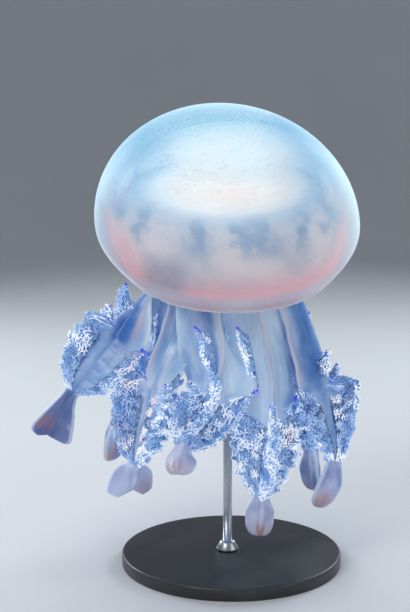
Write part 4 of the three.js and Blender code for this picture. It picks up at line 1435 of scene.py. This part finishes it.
class JELLY_OT_stage(bpy.types.Operator):
    """Sets the pale studio floor, the soft lights and the camera"""
    bl_idname = "jelly.stage"
    bl_label = "Stage"

    def execute(self, context):
        settings = context.scene.jelly_stage
        self.floor(settings)
        for lamp in LAMPS:
            self.light(*lamp)
        world = bpy.data.worlds.new("studio")
        context.scene.world = world
        world.use_nodes = True
        background = world.node_tree.nodes["Background"]
        background.inputs["Color"].default_value = (0.75, 0.82, 0.9, 1)
        background.inputs["Strength"].default_value = 0.22
        self.camera(context, settings)
        context.scene.cycles.transparent_max_bounces = 48
        context.scene.view_settings.view_transform = "Standard"
        return {"FINISHED"}

    @staticmethod
    def floor(settings):
        """A flat disc that curves up through a quarter circle into a low round wall."""
        radius, bend, wall_top, around = settings.floor_radius, 0.9, 2.6, 96
        flat = np.linspace(0.0, radius, 12)[1:]
        angle = np.linspace(0, np.pi / 2, 24)[1:]
        ring = np.concatenate([
            np.stack([flat, np.zeros_like(flat)], -1),
            np.stack([radius + bend * np.sin(angle), bend * (1 - np.cos(angle))], -1),
            [[radius + bend, wall_top]],
        ])
        turn = np.linspace(0, 2 * np.pi, around, endpoint=False)
        across, height = ring[:, :1], np.repeat(ring[:, 1:], around, 1)
        points = np.stack([across * np.cos(turn), across * np.sin(turn), height], -1)
        points = np.concatenate([points.reshape(-1, 3), [[0, 0, 0]]])
        mesh = bpy.data.meshes.new("studio_floor")
        middle = fan_faces(0, around, len(points) - 1, True)
        faces = [*grid_faces(len(ring), around).tolist(), *middle.tolist()]
        mesh.from_pydata(points.tolist(), [], faces)
        mesh.flip_normals()
        mesh.polygons.foreach_set("use_smooth", np.ones(len(faces), dtype=bool))
        mesh.materials.append(studio_paper())
        floor = bpy.data.objects.new("studio_floor", mesh)
        bpy.context.scene.collection.objects.link(floor)

    @staticmethod
    def light(name, place, target, size, power, colour):
        """A square area lamp at a place, turned towards its target."""
        lamp = bpy.data.lights.new(name, "AREA")
        lamp.size = size
        lamp.energy = power
        lamp.color = colour
        holder = bpy.data.objects.new(name, lamp)
        holder.location = place
        aim = np.array(target) - np.array(place)
        level = math.hypot(aim[0], aim[1])
        holder.rotation_euler = (math.atan2(level, -aim[2]), 0, math.atan2(-aim[0], aim[1]))
        bpy.context.scene.collection.objects.link(holder)

    @staticmethod
    def camera(context, settings):
        """The camera looks along +Y, down by its elevation, at its target."""
        lens = bpy.data.cameras.new("camera")
        lens.lens = settings.lens
        lens.sensor_width = 36
        holder = bpy.data.objects.new("camera", lens)
        down = settings.elevation
        holder.location = CAMERA_TARGET - settings.distance * np.array([0, math.cos(down), -math.sin(down)])
        holder.rotation_euler = (math.pi / 2 - down, 0, 0)
        context.scene.collection.objects.link(holder)
        context.scene.camera = holder


class JELLY_PT_panel(bpy.types.Panel):
    """Lists the pieces of the jellyfish"""
    bl_idname = "JELLY_PT_panel"
    bl_label = "Barrel Jellyfish"
    bl_space_type = "VIEW_3D"
    bl_region_type = "UI"
    bl_category = "Jellyfish"

    def draw(self, context):
        for operator in OPERATORS:
            self.layout.operator(operator.bl_idname)
        for group in ("jelly_bell", "jelly_arms", "jelly_stage"):
            settings = getattr(context.scene, group)
            for name in settings.__annotations__:
                self.layout.prop(settings, name)


GROUPS = {"jelly_bell": BellSettings, "jelly_arms": ArmSettings, "jelly_stage": StageSettings}
OPERATORS = (
    JELLY_OT_bell, JELLY_OT_inner_bell, JELLY_OT_underside, JELLY_OT_arms,
    JELLY_OT_frills, JELLY_OT_scapulets, JELLY_OT_stand, JELLY_OT_stage,
)


def register():
    """Adds the settings, the operators and the panel."""
    for name, group in GROUPS.items():
        bpy.utils.register_class(group)
        setattr(bpy.types.Scene, name, bpy.props.PointerProperty(type=group))
    for operator in OPERATORS:
        bpy.utils.register_class(operator)
    bpy.utils.register_class(JELLY_PT_panel)


def unregister():
    """Takes away what register added."""
    bpy.utils.unregister_class(JELLY_PT_panel)
    for operator in reversed(OPERATORS):
        bpy.utils.unregister_class(operator)
    for name, group in GROUPS.items():
        delattr(bpy.types.Scene, name)
        bpy.utils.unregister_class(group)


def main():
    """Builds every piece and the stage."""
    register()
    bpy.ops.jelly.bell()
    bpy.ops.jelly.inner_bell()
    bpy.ops.jelly.underside()
    bpy.ops.jelly.arms()
    bpy.ops.jelly.frills()
    bpy.ops.jelly.scapulets()
    bpy.ops.jelly.stand()
    bpy.ops.jelly.stage()
    bpy.context.view_layer.update()


if __name__ == "__main__":
    main()
